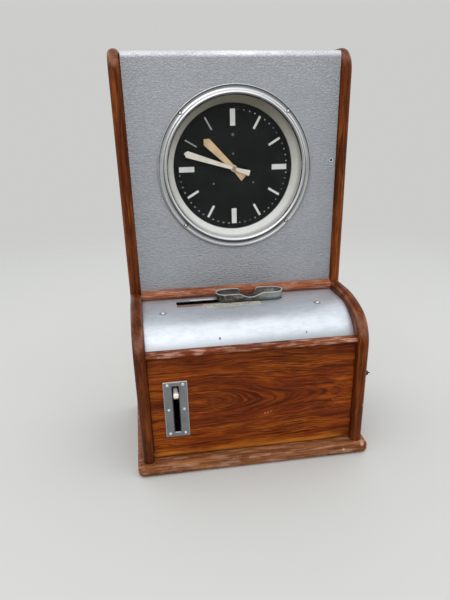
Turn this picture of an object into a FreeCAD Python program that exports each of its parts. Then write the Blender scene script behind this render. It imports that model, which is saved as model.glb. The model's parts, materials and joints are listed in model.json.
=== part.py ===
import FreeCAD, Part
import math
import os

from FreeCAD import Vector

# Time clock: a wooden case that stands on a plinth, a dial above and a stamping works below.
# Millimetres. The origin is the middle of the plinth's underside, the front faces -Y, +Z is up.

# Case
case_width = 380.0
board_thickness = 19.0
board_edge_flat = 1.2
board_height = 643.0
back_y = 125.0
upper_front_y = 41.0
board_front_y = -117.0
upper_corner_radius = 35.0
board_above_cover = 15.2
shoulder_start_y = -1.0
shoulder_radius = 232.0
front_curve_radius = 60.4
plinth_height = 21.5
plinth_side_overhang = 9.5
plinth_front_overhang = 8.5
plinth_nose_radius = 8.0
plinth_corner_radius = 10.0
back_panel_thickness = 8.0

# Dial panel, its battens and the strip at its foot
panel_recess = 6.0
panel_sheet = 1.5
panel_top_z = 638.0
panel_bend_radius = 8.0
panel_side_gap = 0.3
batten_width = 20.0
batten_depth = 15.0
strip_height = 16.2
strip_reach = 11.0
strip_ledge_depth = 26.0
strip_ledge_height = 4.0
strip_edge_flat = 1.2
setting_hole_x = 163.0
setting_hole_z = 475.8
setting_hole_radius = 1.8
setting_hole_depth = 10.0

# Curved cover, its rail and the nosing below it
cover_top_z = 252.8
cover_sheet = 1.2
cover_curve_radius = 84.4
cover_curve_start_y = -20.5
cover_side_gap = 0.4
nosing_drop = 39.3
nosing_height = 8.2
nosing_back_y = -91.5
nosing_reach = 4.2
nosing_behind_cover = 8.0
nosing_edge_flat = 0.6
cover_rail_front_y = -46.0
cover_rail_depth = 20.0
cover_rail_drop = 25.8
cover_screw_y = -30.0
cover_screw_left_x = -137.5
cover_screw_right_x = 125.0
card_slot_left_gap = 8.5
card_slot_right_gap = 5.0
card_slot_width = 19.0
card_slot_corner = 2.0

# Front panel, its lever plate and its lock
front_panel_y = -103.3
front_panel_thickness = 12.0
front_panel_side_gap = 0.8
front_panel_foot_gap = 0.4
front_panel_top_gap = 0.5
door_pivot_inset = 5.0
door_pivot_radius = 2.5
door_pivot_length = 22.0
door_pivot_in_panel = 13.0
lever_x = -129.0
lever_plate_width = 39.0
lever_plate_bottom_z = 62.5
lever_plate_height = 101.0
lever_plate_sheet = 2.0
lever_plate_corner = 1.2
lever_slot_width = 9.0
lever_slot_bottom_z = 71.3
lever_slot_top_z = 155.8
lever_screw_across = 25.0
lever_screw_end_inset = 5.6
wood_slot_margin = 3.0
lock_z = 143.9
lock_blade_radius = 3.0
lock_blade_thickness = 3.0
lock_blade_length = 7.5
lock_seat_depth = 9.0
lock_seat_gap = 0.6
lock_way_gap = 0.8
lock_reach_out = 12.0
lock_pin_radius = 2.8
lock_pin_straight = 2.0
lock_pin_tip = 0.6
lock_bush_radius = 5.5
lock_bush_thickness = 1.6

# Dial, bezel and glass
dial_z = 466.0
dial_face_y = 69.0
dial_visible_radius = 100.0
dial_edge_cover = 4.0
dial_sheet = 1.2
dial_bore_radius = 4.0
bezel_inner_radius = 112.8
bezel_bead_width = 6.9
bezel_bead_rise = 6.2
bezel_band_width = 5.3
bezel_band_thickness = 2.4
bezel_rim_width = 1.6
bezel_rim_thickness = 3.6
glass_cover = 5.2
glass_thickness = 2.7
panel_hole_cover = 1.7
reveal_sheet = 1.2
reveal_screw_margin = 4.0
bar_relief = 0.5
bar_outer_radius = 91.3
wide_bar_length = 25.3
wide_bar_width = 8.4
narrow_bar_length = 21.6
narrow_bar_width = 3.7
dial_screw_places = ((0.0, 23.0), (-34.0, -24.0), (34.0, -24.0))

# Hands, as they stand in the photographed clock
minute_hand_angle = 287.5
hour_hand_angle = 313.6
minute_hand_y = 60.0
hour_hand_y = 63.4
hand_sheet = 0.8
minute_hand_reach = 86.6
minute_hand_tail = 27.4
minute_hand_width = 10.4
minute_hand_waist = 5.0
minute_hand_point = 5.3
minute_hand_tail_width = 9.4
hour_hand_reach = 67.6
hour_hand_tail = 23.2
hour_hand_width = 13.6
hour_hand_waist = 7.6
hour_hand_point = 6.4
hour_hand_tail_width = 12.2
hand_waist_half_length = 4.0
hand_boss_margin = 2.2
hand_nut_width = 6.2
hand_nut_thickness = 2.6
hand_nut_bevel = 0.8
arbor_past_hand = 2.4

# Going train behind the dial
running_gap = 0.05
train_centres = 18.0
pinion_teeth = 8
carry_teeth = 24
hour_teeth = 32
tooth_tip_rise = 0.85
tooth_root_drop = 1.05
tooth_tip_share = 0.24
tooth_root_share = 0.62
hour_wheel_ys = (72.2, 74.0)
minute_pinion_ys = (75.0, 77.6)
minute_wheel_ys = (75.2, 77.4)
dial_ratchet_y = 89.0
ratchet_teeth = 60
ratchet_radius = 16.0
ratchet_thickness = 1.5
ratchet_tooth_depth = 1.1
ratchet_tooth_share = 0.8
arbor_radius = 1.5
cannon_radius = 2.25
hour_pipe_radius = 3.3
movement_front_y = 79.0
movement_back_y = 98.0
movement_sheet = 1.5
movement_half_width = 46.0
movement_above = 32.0
movement_below = 88.0
pillar_radius = 3.0
pillar_inset = 7.0
motion_stud_reach = 0.4

# Impulse magnet, the same one for the dial and for the type wheels
armature_drop = 43.0
armature_side = 0.5
armature_thickness = 2.5
armature_width = 10.0
magnet_offset = 25.0
magnet_air_gap = 2.4
coil_radius = 8.0
coil_length = 30.0
coil_end_gap = 1.5
yoke_sheet = 4.0
core_width = 7.0
yoke_side_gap = 1.0
yoke_top_drop = 2.0
pawl_gap = 0.4
pawl_sheet = 2.0
pawl_neck = 0.8
pawl_nose = 3.0
armature_hub_radius = 3.4
armature_overhang = 11.0

# Card guide, its carriage and rails
card_plane_y = 14.0
guide_x = 15.0
guide_travel = 67.0
guide_rim_length = 119.0
guide_rim_depth = 36.0
guide_foot_depth = 31.0
guide_floor_depth = 11.0
guide_rise = 15.0
guide_wall = 2.6
guide_lift = 0.5
notch_top_width = 37.0
notch_bottom_width = 22.0
notch_depth = 10.5
notch_corner_radius = 6.0
notch_lip_radius = 5.0
neck_corner_radius = 3.0
throat_length = 92.0
throat_width = 5.0
neck_length = 104.0
neck_width = 15.0
carriage_drop = 6.8
carriage_thickness = 14.0
carriage_length = 108.0
carriage_depth = 68.0
carriage_bar = 8.0
channel_wall = 1.0
channel_depth = 6.0
channel_span = 88.0
deck_margin = 2.0
deck_thickness = 6.0
card_below_print = 48.0
card_stop_thickness = 4.0
rail_radius = 4.0
rail_spacing = 48.0
rail_drop = 7.0

# Frame of the stamping works
frame_left_x = -114.5
frame_right_x = 82.5
frame_sheet = 3.0
frame_front_y = -60.0
frame_back_y = 100.0
frame_front_z = 195.0
frame_back_z = 150.0
frame_head_reach = 36.0
frame_step = 24.0
window_inset = 16.0
window_bottom_z = 50.0
window_corner = 9.0

# Stamping lever and hammer
rock_y = 55.0
rock_z = 118.0
rock_radius = 5.0
rock_end_reach = 2.0
stamp_angle = 24.0
lever_thickness = 6.0
lever_at_slot_z = 148.0
lever_bar_height = 7.0
lever_root_half = 8.0
lever_end_drop = 2.0
lever_tip_y = -117.0
lever_tip_length = 7.0
lever_tip_width = 8.2
lever_tip_height = 10.0
lever_tip_bevel = 1.4
rocker_hub_radius = 10.0
hammer_thickness = 7.0
hammer_hub_step = 2.0
hammer_arm_half = 8.5
hammer_arm_depth = 10.0
hammer_head_depth = 9.0
hammer_elbow_rise = 30.0
hammer_stop_gap = 1.0
hammer_face_width = 15.0
hammer_face_height = 16.0
hammer_pad_thickness = 2.0
spring_wire = 2.0
spring_gap = 0.3

# Type wheels and ribbon
print_x = -18.5
type_wheel_radius = 20.0
type_wheel_width = 7.0
type_wheel_gap = 1.0
type_ribbon_gap = 0.2
card_ribbon_gap = 0.4
type_arbor_radius = 2.5
carry_stud_radius = 1.5
carry_sleeve_radius = 3.0
type_gear_width = 4.0
type_pinion_gap = 1.5
carry_wheel_inset = 0.2
side_play = 0.3
carry_side_angle = 225.0
type_z = 178.0
minute_figures = 20
hour_figures = 12
figure_relief = 1.2
figure_top_share = 0.32
figure_root_share = 0.36
bracket_left_x = -41.0
bracket_right_x = 8.5
bracket_sheet = 2.5
bracket_front_reach = 37.5
bracket_back_reach = 12.5
bracket_head = 14.0
spool_offset = 48.0
spool_y = -20.0
spool_flange_radius = 15.0
spool_core_radius = 12.0
spool_height = 18.0
spool_flange = 1.5
ribbon_width = 13.0
ribbon_thickness = 0.4
ribbon_pin_offset = 31.0
ribbon_pin_radius = 1.5
ribbon_pin_gap = 0.1
ribbon_pin_drop = 1.0
ribbon_wrap_gap = 0.2
spool_axle_radius = 2.0
spool_axle_reach = 2.0
shelf_sheet = 2.5
shelf_edge_margin = 0.7
shelf_front_margin = 1.0

# Screws: plain heads and shanks with few sides
screw_head_sides = 12
screw_shank_sides = 6
cover_screw_head = (3.3, 2.4)
cover_screw_washer = (4.8, 0.8)
cover_screw_shank = (1.7, 16.0)
plate_screw_head = (2.4, 1.2)
plate_screw_shank = (1.3, 9.0)
bezel_screw_head = (1.9, 1.3)
bezel_screw_shank = (1.0, 7.0)
dial_screw_head = (1.5, 0.6)
dial_screw_shank = (0.8, 5.0)

# Back of the case
wall_hole_radius = 3.5
wall_hole_across = 240.0
wall_hole_low_z = 90.0
wall_hole_high_z = 560.0
cable_x = 130.0
cable_z = 60.0
cable_bore_radius = 4.0
cable_bush_radius = 7.0
cable_bush_flange = 10.0
cable_bush_lip = 2.0
terminal_z = 129.0
terminal_count = 4
terminal_pitch = 10.0
terminal_depth = 14.0
terminal_height = 18.0
terminal_well = 5.2

# Places worked out from the sizes above
bezel_bead_radius = bezel_inner_radius + bezel_bead_width
bezel_screw_circle = bezel_bead_radius + bezel_band_width / 2
bezel_outer_radius = bezel_bead_radius + bezel_band_width + bezel_rim_width
glass_radius = bezel_inner_radius + glass_cover
panel_hole_radius = bezel_inner_radius + panel_hole_cover
reveal_flange_radius = bezel_screw_circle + reveal_screw_margin
dial_plate_radius = dial_visible_radius + dial_edge_cover
first_module = 2 * train_centres / (pinion_teeth + carry_teeth)
second_module = 2 * train_centres / (pinion_teeth + hour_teeth)
guide_end_offset = (guide_rim_length - guide_rim_depth) / 2
outer_x = case_width / 2
inner_x = outer_x - board_thickness
panel_front_y = upper_front_y + panel_recess
panel_back_y = panel_front_y + panel_sheet
back_inner_y = back_y - back_panel_thickness
cover_under_z = cover_top_z - cover_sheet
lower_case_top_z = cover_top_z + board_above_cover
panel_foot_z = cover_top_z + strip_ledge_height
nosing_top_z = cover_top_z - nosing_drop
cover_rail_bottom_z = cover_top_z - cover_rail_drop
carriage_top_z = cover_top_z - carriage_drop
rail_z = carriage_top_z - rail_drop
card_stop_z = type_z - card_below_print
cover_curve_z = cover_top_z - cover_curve_radius
nosing_bottom_z = nosing_top_z - nosing_height
front_panel_back_y = front_panel_y + front_panel_thickness
door_pivot_y = front_panel_y + door_pivot_inset
door_pivot_z = plinth_height + front_panel_foot_gap + door_pivot_inset
lock_y = front_panel_y + front_panel_thickness / 2
lever_plate_front_y = front_panel_y - lever_plate_sheet
channel_half = throat_width / 2 + channel_wall
card_slot_left_x = guide_x - guide_travel - neck_length / 2 - card_slot_left_gap
card_slot_right_x = guide_x + neck_length / 2 + card_slot_right_gap
type_front_y = card_plane_y - channel_half
ribbon_back_y = type_front_y - card_ribbon_gap
type_y = ribbon_back_y - ribbon_thickness - type_ribbon_gap - type_wheel_radius
type_ratchet_x = print_x + type_wheel_width + type_wheel_gap / 2 + 6.0
stud_z = dial_z - train_centres
hour_gear_start_x = print_x - type_wheel_gap / 2 - type_wheel_width - type_gear_width
lever_end_z = lever_at_slot_z - lever_end_drop
hammer_face_y = card_plane_y + hammer_stop_gap
frame_floor_z = plinth_height + frame_sheet
carry_y = type_y + train_centres * math.cos(math.radians(carry_side_angle))
carry_z = type_z + train_centres * math.sin(math.radians(carry_side_angle))


# Plain solids

def block(xs, ys, zs):
    low = Vector(min(xs), min(ys), min(zs))
    return Part.makeBox(abs(xs[1] - xs[0]), abs(ys[1] - ys[0]), abs(zs[1] - zs[0]), low)


def rod(axis, start, end, centre, radius):
    a, b = centre
    base, way = {
        "x": (Vector(start, a, b), Vector(1, 0, 0)),
        "y": (Vector(a, start, b), Vector(0, 1, 0)),
        "z": (Vector(a, b, start), Vector(0, 0, 1)),
    }[axis]
    return Part.makeCylinder(radius, end - start, base, way)


def place_point(axis, along, a, b):
    return {"x": Vector(along, a, b), "y": Vector(a, along, b), "z": Vector(a, b, along)}[axis]


def slab(axis, start, end, outline):
    points = [place_point(axis, start, a, b) for a, b in outline]
    face = Part.Face(Part.makePolygon(points + points[:1]))
    return face.extrude(place_point(axis, end, 0, 0) - place_point(axis, start, 0, 0))


def turned_y(outline, x, z):
    points = [Vector(x + radius, y, z) for radius, y in outline]
    face = Part.Face(Part.makePolygon(points + points[:1]))
    return face.revolve(Vector(x, 0, z), Vector(0, 1, 0), 360)


def arc_edge(start, middle, end):
    return Part.Arc(start, middle, end).toShape()


def line_edge(start, end):
    return Part.LineSegment(start, end).toShape()


def join(shapes):
    whole = shapes[0].fuse(shapes[1:])
    return whole.removeSplitter()


def edges_where(shape, test):
    return [edge for edge in shape.Edges if test(edge)]


def on_plane(edge, axis, value):
    box = edge.BoundBox
    low, high = {
        "x": (box.XMin, box.XMax),
        "y": (box.YMin, box.YMax),
        "z": (box.ZMin, box.ZMax),
    }[axis]
    return abs(low - value) < 1e-4 and abs(high - value) < 1e-4


def rounded_block(xs, ys, zs, axis, radius):
    solid = block(xs, ys, zs)
    spans = {"x": "XLength", "y": "YLength", "z": "ZLength"}
    picked = edges_where(solid, lambda e: getattr(e.BoundBox, spans[axis]) > 1e-4)
    return solid.makeFillet(radius, picked)


def many_sided(axis, start, end, centre, radius, sides):
    outline = []
    for side in range(sides):
        angle = 2 * math.pi * side / sides
        outline.append((centre[0] + radius * math.cos(angle), centre[1] + radius * math.sin(angle)))
    return slab(axis, start, end, outline)


def screw(axis, centre, seat, out, head, shank):
    # The head stands on its seat on the side that out points to, the shank goes in behind.
    top = seat + out * head[1]
    tip = seat - out * shank[1]
    crown = many_sided(axis, min(seat, top), max(seat, top), centre, head[0], screw_head_sides)
    stem = many_sided(axis, min(seat, tip), max(seat, tip), centre, shank[0], screw_shank_sides)
    return join([crown, stem])


# Case pieces

def lower_board_outline(x):
    # The top runs level, falls away on a large radius and turns down on a small one.
    radius_gap = shoulder_radius - front_curve_radius
    lean = math.asin((shoulder_start_y - front_curve_radius - board_front_y) / radius_gap)
    centre_y = board_front_y + front_curve_radius
    big_z = lower_case_top_z - shoulder_radius
    centre_z = big_z + radius_gap * math.cos(lean)

    def on_big(angle):
        return Vector(x, shoulder_start_y - shoulder_radius * math.sin(angle),
                      big_z + shoulder_radius * math.cos(angle))

    def on_small(angle):
        return Vector(x, centre_y - front_curve_radius * math.sin(angle),
                      centre_z + front_curve_radius * math.cos(angle))

    halfway = (lean + math.pi / 2) / 2
    foot_back = Vector(x, back_y, plinth_height)
    foot_front = Vector(x, board_front_y, plinth_height)
    top_back = Vector(x, back_y, lower_case_top_z)
    edges = [
        line_edge(foot_back, foot_front),
        line_edge(foot_front, on_small(math.pi / 2)),
        arc_edge(on_small(math.pi / 2), on_small(halfway), on_small(lean)),
        arc_edge(on_big(lean), on_big(lean / 2), on_big(0)),
        line_edge(on_big(0), top_back),
        line_edge(top_back, foot_back),
    ]
    return Part.Face(Part.Wire(edges))


def upper_board_outline(x):
    corner_y = upper_front_y + upper_corner_radius
    corner_z = board_height - upper_corner_radius
    slant = upper_corner_radius * math.sqrt(0.5)
    foot_front = Vector(x, upper_front_y, plinth_height)
    foot_back = Vector(x, back_y, plinth_height)
    top_back = Vector(x, back_y, board_height)
    arc_start = Vector(x, upper_front_y, corner_z)
    arc_end = Vector(x, corner_y, board_height)
    edges = [
        line_edge(foot_back, foot_front),
        line_edge(foot_front, arc_start),
        arc_edge(arc_start, Vector(x, corner_y - slant, corner_z + slant), arc_end),
        line_edge(arc_end, top_back),
        line_edge(top_back, foot_back),
    ]
    return Part.Face(Part.Wire(edges))


def bullnosed_board(outline, x):
    # Rounds the edges that show in front and on top, and leaves the back and foot square.
    board = outline(x).extrude(Vector(board_thickness, 0, 0))

    def shows(edge):
        box = edge.BoundBox
        flat_side = on_plane(edge, "x", x) or on_plane(edge, "x", x + board_thickness)
        at_foot = on_plane(edge, "z", plinth_height)
        at_back = on_plane(edge, "y", back_y)
        return flat_side and not at_foot and not at_back and box.DiagonalLength > 1

    return board.makeFillet((board_thickness - board_edge_flat) / 2, edges_where(board, shows))


def side_board(side):
    x = inner_x if side > 0 else -outer_x
    board = bullnosed_board(lower_board_outline, x).fuse(bullnosed_board(upper_board_outline, x))
    board = board.removeSplitter()
    pin_end = inner_x + door_pivot_length - door_pivot_in_panel - front_panel_side_gap
    ends = sorted((side * (inner_x - 1), side * (pin_end + 0.5)))
    pivot = rod("x", ends[0], ends[1], (door_pivot_y, door_pivot_z), door_pivot_radius + running_gap)
    board = board.cut(pivot)
    if side > 0:
        lock_bore = rod("x", inner_x - 1, outer_x + 1, (lock_y, lock_z),
                        lock_blade_radius + running_gap)
        board = board.cut(lock_bore)
    return board


def base_plinth():
    half = outer_x + plinth_side_overhang
    front_y = board_front_y - plinth_front_overhang
    base = block((-half, half), (front_y, back_y), (0, plinth_height))

    def front_corner(edge):
        return edge.BoundBox.ZLength > 1 and on_plane(edge, "y", front_y)

    base = base.makeFillet(plinth_corner_radius, edges_where(base, front_corner))

    def nose(edge):
        flat = on_plane(edge, "z", 0) or on_plane(edge, "z", plinth_height)
        return flat and not on_plane(edge, "y", back_y)

    return base.makeFillet(plinth_nose_radius, edges_where(base, nose))


def back_panel():
    top = panel_top_z - panel_sheet
    panel = block((-inner_x, inner_x), (back_inner_y, back_y), (plinth_height, top))
    for x in (-wall_hole_across / 2, wall_hole_across / 2):
        for z in (wall_hole_low_z, wall_hole_high_z):
            panel = panel.cut(rod("y", back_inner_y - 1, back_y + 1, (x, z), wall_hole_radius))
    return panel.cut(bush_barrel(back_inner_y - 1, back_y + 1, cable_bush_radius))


def bush_barrel(start, end, radius):
    return many_sided("y", start, end, (cable_x, cable_z), radius, 16)


def cable_bush():
    lip_y = back_inner_y - cable_bush_lip
    flange = bush_barrel(lip_y, back_inner_y, cable_bush_flange)
    barrel = bush_barrel(lip_y, back_y, cable_bush_radius)
    bore = rod("y", lip_y - 1, back_y + 1, (cable_x, cable_z), cable_bore_radius)
    return join([flange, barrel]).cut(bore)


def terminal_block():
    # A moulded strip with four clamp wells.
    half = terminal_pitch * terminal_count / 2
    front_y = back_inner_y - terminal_depth
    body = block((cable_x - half, cable_x + half), (front_y, back_inner_y),
                 (terminal_z - terminal_height / 2, terminal_z + terminal_height / 2))
    reach = terminal_well / 2
    for step in range(terminal_count):
        middle = cable_x - half + terminal_pitch * (step + 0.5)
        body = body.cut(block((middle - reach, middle + reach), (front_y, front_y + terminal_well),
                              (terminal_z - reach, terminal_z + reach)))
    return body


def panel_battens():
    top = panel_top_z - panel_sheet - panel_bend_radius
    pair = []
    for side in (-1, 1):
        xs = (side * inner_x, side * (inner_x - batten_width))
        batten = block(xs, (panel_back_y, panel_back_y + batten_depth), (panel_foot_z, top))
        pair.append(batten)
    hole = rod("y", panel_front_y, panel_back_y + setting_hole_depth, (setting_hole_x, setting_hole_z),
               setting_hole_radius)
    pair[1] = pair[1].cut(hole)
    return Part.makeCompound(pair)


def dial_panel():
    # One bent sheet: the face stands in front and the bend carries it back over the top.
    half = inner_x - panel_side_gap
    face = block((-half, half), (panel_front_y, panel_back_y),
                 (panel_foot_z, panel_top_z - panel_bend_radius))
    top = block((-half, half), (panel_front_y + panel_bend_radius, back_y),
                (panel_top_z - panel_sheet, panel_top_z))
    centre = (panel_front_y + panel_bend_radius, panel_top_z - panel_bend_radius)
    outer = rod("x", -half, half, centre, panel_bend_radius)
    inner = rod("x", -half, half, centre, panel_bend_radius - panel_sheet)
    quarter = block((-half, half), (panel_front_y, centre[0]), (centre[1], panel_top_z))
    panel = join([face, outer.cut(inner).common(quarter), top])
    panel = panel.cut(rod("y", panel_front_y - 1, panel_back_y + 1, (0, dial_z), panel_hole_radius))
    hole = rod("y", panel_front_y - 1, panel_back_y + 1, (setting_hole_x, setting_hole_z),
               setting_hole_radius)
    return panel.cut(hole).cut(bezel_screws())


def dial_rail():
    # A moulded strip in front of the panel, with a ledge that the panel stands on.
    front_y = panel_front_y - strip_reach
    top_z = cover_top_z + strip_height
    nose = block((-inner_x, inner_x), (front_y, panel_front_y), (cover_top_z, top_z))
    picked = edges_where(nose, lambda e: on_plane(e, "y", front_y) and e.BoundBox.XLength > 1)
    nose = nose.makeFillet((strip_height - strip_edge_flat) / 2, picked)
    ledge = block((-inner_x, inner_x), (panel_front_y - 1, panel_front_y - 1 + strip_ledge_depth),
                  (cover_top_z, panel_foot_z))
    return join([nose, ledge])


def under_cover(radius, flat_z, back):
    # The space below the cover, out to the given radius of its curve.
    depth = 140
    flat = block((-inner_x, inner_x), (cover_curve_start_y, back), (flat_z - depth, flat_z))
    roll = rod("x", -inner_x, inner_x, (cover_curve_start_y, cover_curve_z), radius)
    front = block((-inner_x, inner_x), (cover_curve_start_y - radius - 1, cover_curve_start_y),
                  (flat_z - depth, flat_z + 1))
    return join([flat, roll.common(front)])


def curved_cover():
    half = inner_x - cover_side_gap
    back = panel_front_y - 1 + strip_ledge_depth
    outer = under_cover(cover_curve_radius, cover_top_z, back)
    inner = under_cover(cover_curve_radius - cover_sheet, cover_under_z, back + 1)
    low_z = nosing_bottom_z + 1
    keep = block((-half, half), (cover_curve_start_y - cover_curve_radius - 1, back),
                 (low_z, cover_top_z + 1))
    cover = outer.cut(inner).common(keep)
    slot = rounded_block((card_slot_left_x, card_slot_right_x),
                         (card_plane_y - card_slot_width / 2, card_plane_y + card_slot_width / 2),
                         (cover_under_z - 2, cover_top_z + 2), "z", card_slot_corner)
    return cover.cut(slot).cut(cover_screws())


def cover_screws():
    # Round heads on flat washers, driven down into the rail.
    drop = cover_curve_start_y - cover_screw_y
    seat = cover_curve_z + math.sqrt(cover_curve_radius ** 2 - drop ** 2)
    screws = []
    for x in (cover_screw_left_x, cover_screw_right_x):
        head_seat = seat + cover_screw_washer[1]
        washer = many_sided("z", seat, head_seat, (x, cover_screw_y), cover_screw_washer[0],
                            screw_head_sides)
        fixing = screw("z", (x, cover_screw_y), head_seat, 1, cover_screw_head, cover_screw_shank)
        screws.append(join([washer, fixing]))
    return Part.makeCompound(screws)


def cover_rail():
    rail = block((-inner_x, inner_x), (cover_rail_front_y, cover_rail_front_y + cover_rail_depth),
                 (cover_rail_bottom_z, cover_top_z))
    room = under_cover(cover_curve_radius - cover_sheet, cover_under_z, back_inner_y)
    return rail.common(room).cut(cover_screws())


def cover_nosing():
    # A half-round strip between the cover's lower edge and the front panel.
    front_y = front_panel_y - nosing_reach
    strip = block((-inner_x, inner_x), (front_y, nosing_back_y + nosing_behind_cover),
                  (nosing_bottom_z, nosing_top_z))
    picked = edges_where(strip, lambda e: on_plane(e, "y", front_y) and e.BoundBox.XLength > 1)
    strip = strip.makeFillet((nosing_height - nosing_edge_flat) / 2, picked)
    groove = under_cover(cover_curve_radius, cover_top_z, 0)
    top_part = block((-inner_x, inner_x), (front_y, 0), (nosing_bottom_z + 1, nosing_top_z + 1))
    return strip.cut(groove.common(top_part))


# Front panel, its lever plate and its lock

def front_panel():
    half = inner_x - front_panel_side_gap
    foot_z = plinth_height + front_panel_foot_gap
    top_z = nosing_bottom_z - front_panel_top_gap
    panel = block((-half, half), (front_panel_y, front_panel_back_y), (foot_z, top_z))

    def turning_edge(edge):
        return on_plane(edge, "y", front_panel_y) and on_plane(edge, "z", foot_z)

    panel = panel.makeFillet(door_pivot_inset, edges_where(panel, turning_edge))
    slot_half = lever_slot_width / 2 + wood_slot_margin
    slot = block((lever_x - slot_half, lever_x + slot_half),
                 (front_panel_y - 1, front_panel_back_y + 1),
                 (lever_slot_bottom_z - wood_slot_margin, lever_slot_top_z + wood_slot_margin))
    panel = panel.cut(slot).cut(door_pivots()).cut(lever_plate_screws())
    # The keyhole in the edge: a round seat that opens to the back through a narrower slot.
    way_half = lock_blade_thickness / 2 + lock_way_gap
    seat = rod("x", half - lock_seat_depth, half + 1, (lock_y, lock_z),
               lock_blade_radius + lock_seat_gap)
    way = block((half - lock_seat_depth, half + 1), (lock_y, front_panel_back_y + 1),
                (lock_z - way_half, lock_z + way_half))
    return panel.cut(seat).cut(way)


def door_pivots():
    half = inner_x - front_panel_side_gap
    inside = half - door_pivot_in_panel
    pins = []
    for side in (-1, 1):
        ends = sorted((side * inside, side * (inside + door_pivot_length)))
        pins.append(rod("x", ends[0], ends[1], (door_pivot_y, door_pivot_z), door_pivot_radius))
    return Part.makeCompound(pins)


def lever_plate():
    half = lever_plate_width / 2
    plate = rounded_block((lever_x - half, lever_x + half), (lever_plate_front_y, front_panel_y),
                          (lever_plate_bottom_z, lever_plate_bottom_z + lever_plate_height), "y",
                          lever_plate_corner)
    slot = block((lever_x - lever_slot_width / 2, lever_x + lever_slot_width / 2),
                 (lever_plate_front_y - 1, front_panel_y + 1),
                 (lever_slot_bottom_z, lever_slot_top_z))
    return plate.cut(slot).cut(lever_plate_screws())


def lever_plate_screws():
    middle_z = lever_plate_bottom_z + lever_plate_height / 2
    rise = lever_plate_height / 2 - lever_screw_end_inset
    screws = []
    for x in (lever_x - lever_screw_across / 2, lever_x + lever_screw_across / 2):
        for z in (middle_z - rise, middle_z, middle_z + rise):
            screws.append(screw("y", (x, z), lever_plate_front_y, -1, plate_screw_head,
                                plate_screw_shank))
    return Part.makeCompound(screws)


def lock_spindle():
    # A pointed pin outside, and inside a flat blade that turns in the panel's edge.
    blade_end = inner_x - front_panel_side_gap - lock_blade_length
    body = rod("x", inner_x + side_play, outer_x + lock_bush_thickness, (lock_y, lock_z),
               lock_blade_radius)
    half = lock_blade_thickness / 2
    reach = math.sqrt(lock_blade_radius ** 2 - half ** 2)
    blade = block((blade_end, inner_x + side_play), (lock_y - reach, lock_y + reach),
                  (lock_z - half, lock_z + half))
    start = outer_x + lock_bush_thickness
    rings = []
    for along, radius in ((0, lock_pin_radius), (lock_pin_straight, lock_pin_radius),
                          (lock_reach_out - lock_bush_thickness, lock_pin_tip)):
        corners = []
        for corner in range(8):
            angle = math.pi / 4 * corner
            corners.append(Vector(start + along, lock_y + radius * math.cos(angle),
                                  lock_z + radius * math.sin(angle)))
        rings.append(Part.makePolygon(corners + corners[:1]))
    point = Part.makeLoft(rings, True, True)
    return join([body, blade, point])


def lock_bush():
    disc = many_sided("x", outer_x, outer_x + lock_bush_thickness, (lock_y, lock_z),
                      lock_bush_radius, 16)
    return disc.cut(rod("x", outer_x - 1, outer_x + 5, (lock_y, lock_z),
                        lock_blade_radius + running_gap))


# Dial, bezel and glass

def bezel_ring():
    # Turned ring: a raised outer rim, a flat band for the screws and a bead over the glass.
    glass_front = panel_front_y - glass_thickness
    band_y = panel_front_y - bezel_band_thickness
    bead_y = glass_front - bezel_bead_rise
    bead_slope = bezel_bead_width / 4
    outline = [
        (glass_radius, panel_front_y),
        (bezel_outer_radius, panel_front_y),
        (bezel_outer_radius, panel_front_y - bezel_rim_thickness),
        (bezel_outer_radius - bezel_rim_width, band_y),
        (bezel_bead_radius, band_y),
        (bezel_bead_radius - bead_slope, bead_y),
        (bezel_inner_radius + bead_slope, bead_y),
        (bezel_inner_radius, glass_front),
        (glass_radius, glass_front),
    ]
    return turned_y(outline, 0, dial_z).cut(bezel_screws())


def bezel_screws():
    seat = panel_front_y - bezel_band_thickness
    screws = []
    for quarter in range(4):
        angle = math.radians(45 + 90 * quarter)
        x = bezel_screw_circle * math.cos(angle)
        z = dial_z + bezel_screw_circle * math.sin(angle)
        screws.append(screw("y", (x, z), seat, -1, bezel_screw_head, bezel_screw_shank))
    return Part.makeCompound(screws)


def dial_glass():
    disc = rod("y", panel_front_y - glass_thickness, panel_front_y, (0, dial_z), glass_radius)
    return disc


def reveal_ring():
    # A spun ring: its flange lies behind the panel and its cone leads back to the dial.
    outline = [
        (bezel_inner_radius, panel_back_y),
        (reveal_flange_radius, panel_back_y),
        (reveal_flange_radius, panel_back_y + reveal_sheet),
        (bezel_inner_radius + reveal_sheet, panel_back_y + reveal_sheet),
        (dial_plate_radius, dial_face_y),
        (dial_visible_radius, dial_face_y),
    ]
    return turned_y(outline, 0, dial_z).cut(bezel_screws())


def dial_plate():
    back = dial_face_y + dial_sheet
    plate = rod("y", dial_face_y, back, (0, dial_z), dial_plate_radius)
    plate = plate.cut(many_sided("y", dial_face_y - 1, back + 1, (0, dial_z), dial_bore_radius, 16))
    return plate.cut(dial_screws())


def dial_screws():
    screws = [screw("y", (x, dial_z + z), dial_face_y, -1, dial_screw_head, dial_screw_shank)
              for x, z in dial_screw_places]
    return Part.makeCompound(screws)


def hour_bars():
    bars = []
    for hour in range(12):
        wide = hour % 3 == 0
        half = (wide_bar_width if wide else narrow_bar_width) / 2
        length = wide_bar_length if wide else narrow_bar_length
        bar = block((-half, half), (dial_face_y - bar_relief, dial_face_y),
                    (dial_z + bar_outer_radius - length, dial_z + bar_outer_radius))
        bar.rotate(Vector(0, 0, dial_z), Vector(0, 1, 0), 30 * hour)
        bars.append(bar)
    return Part.makeCompound(bars)


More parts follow.
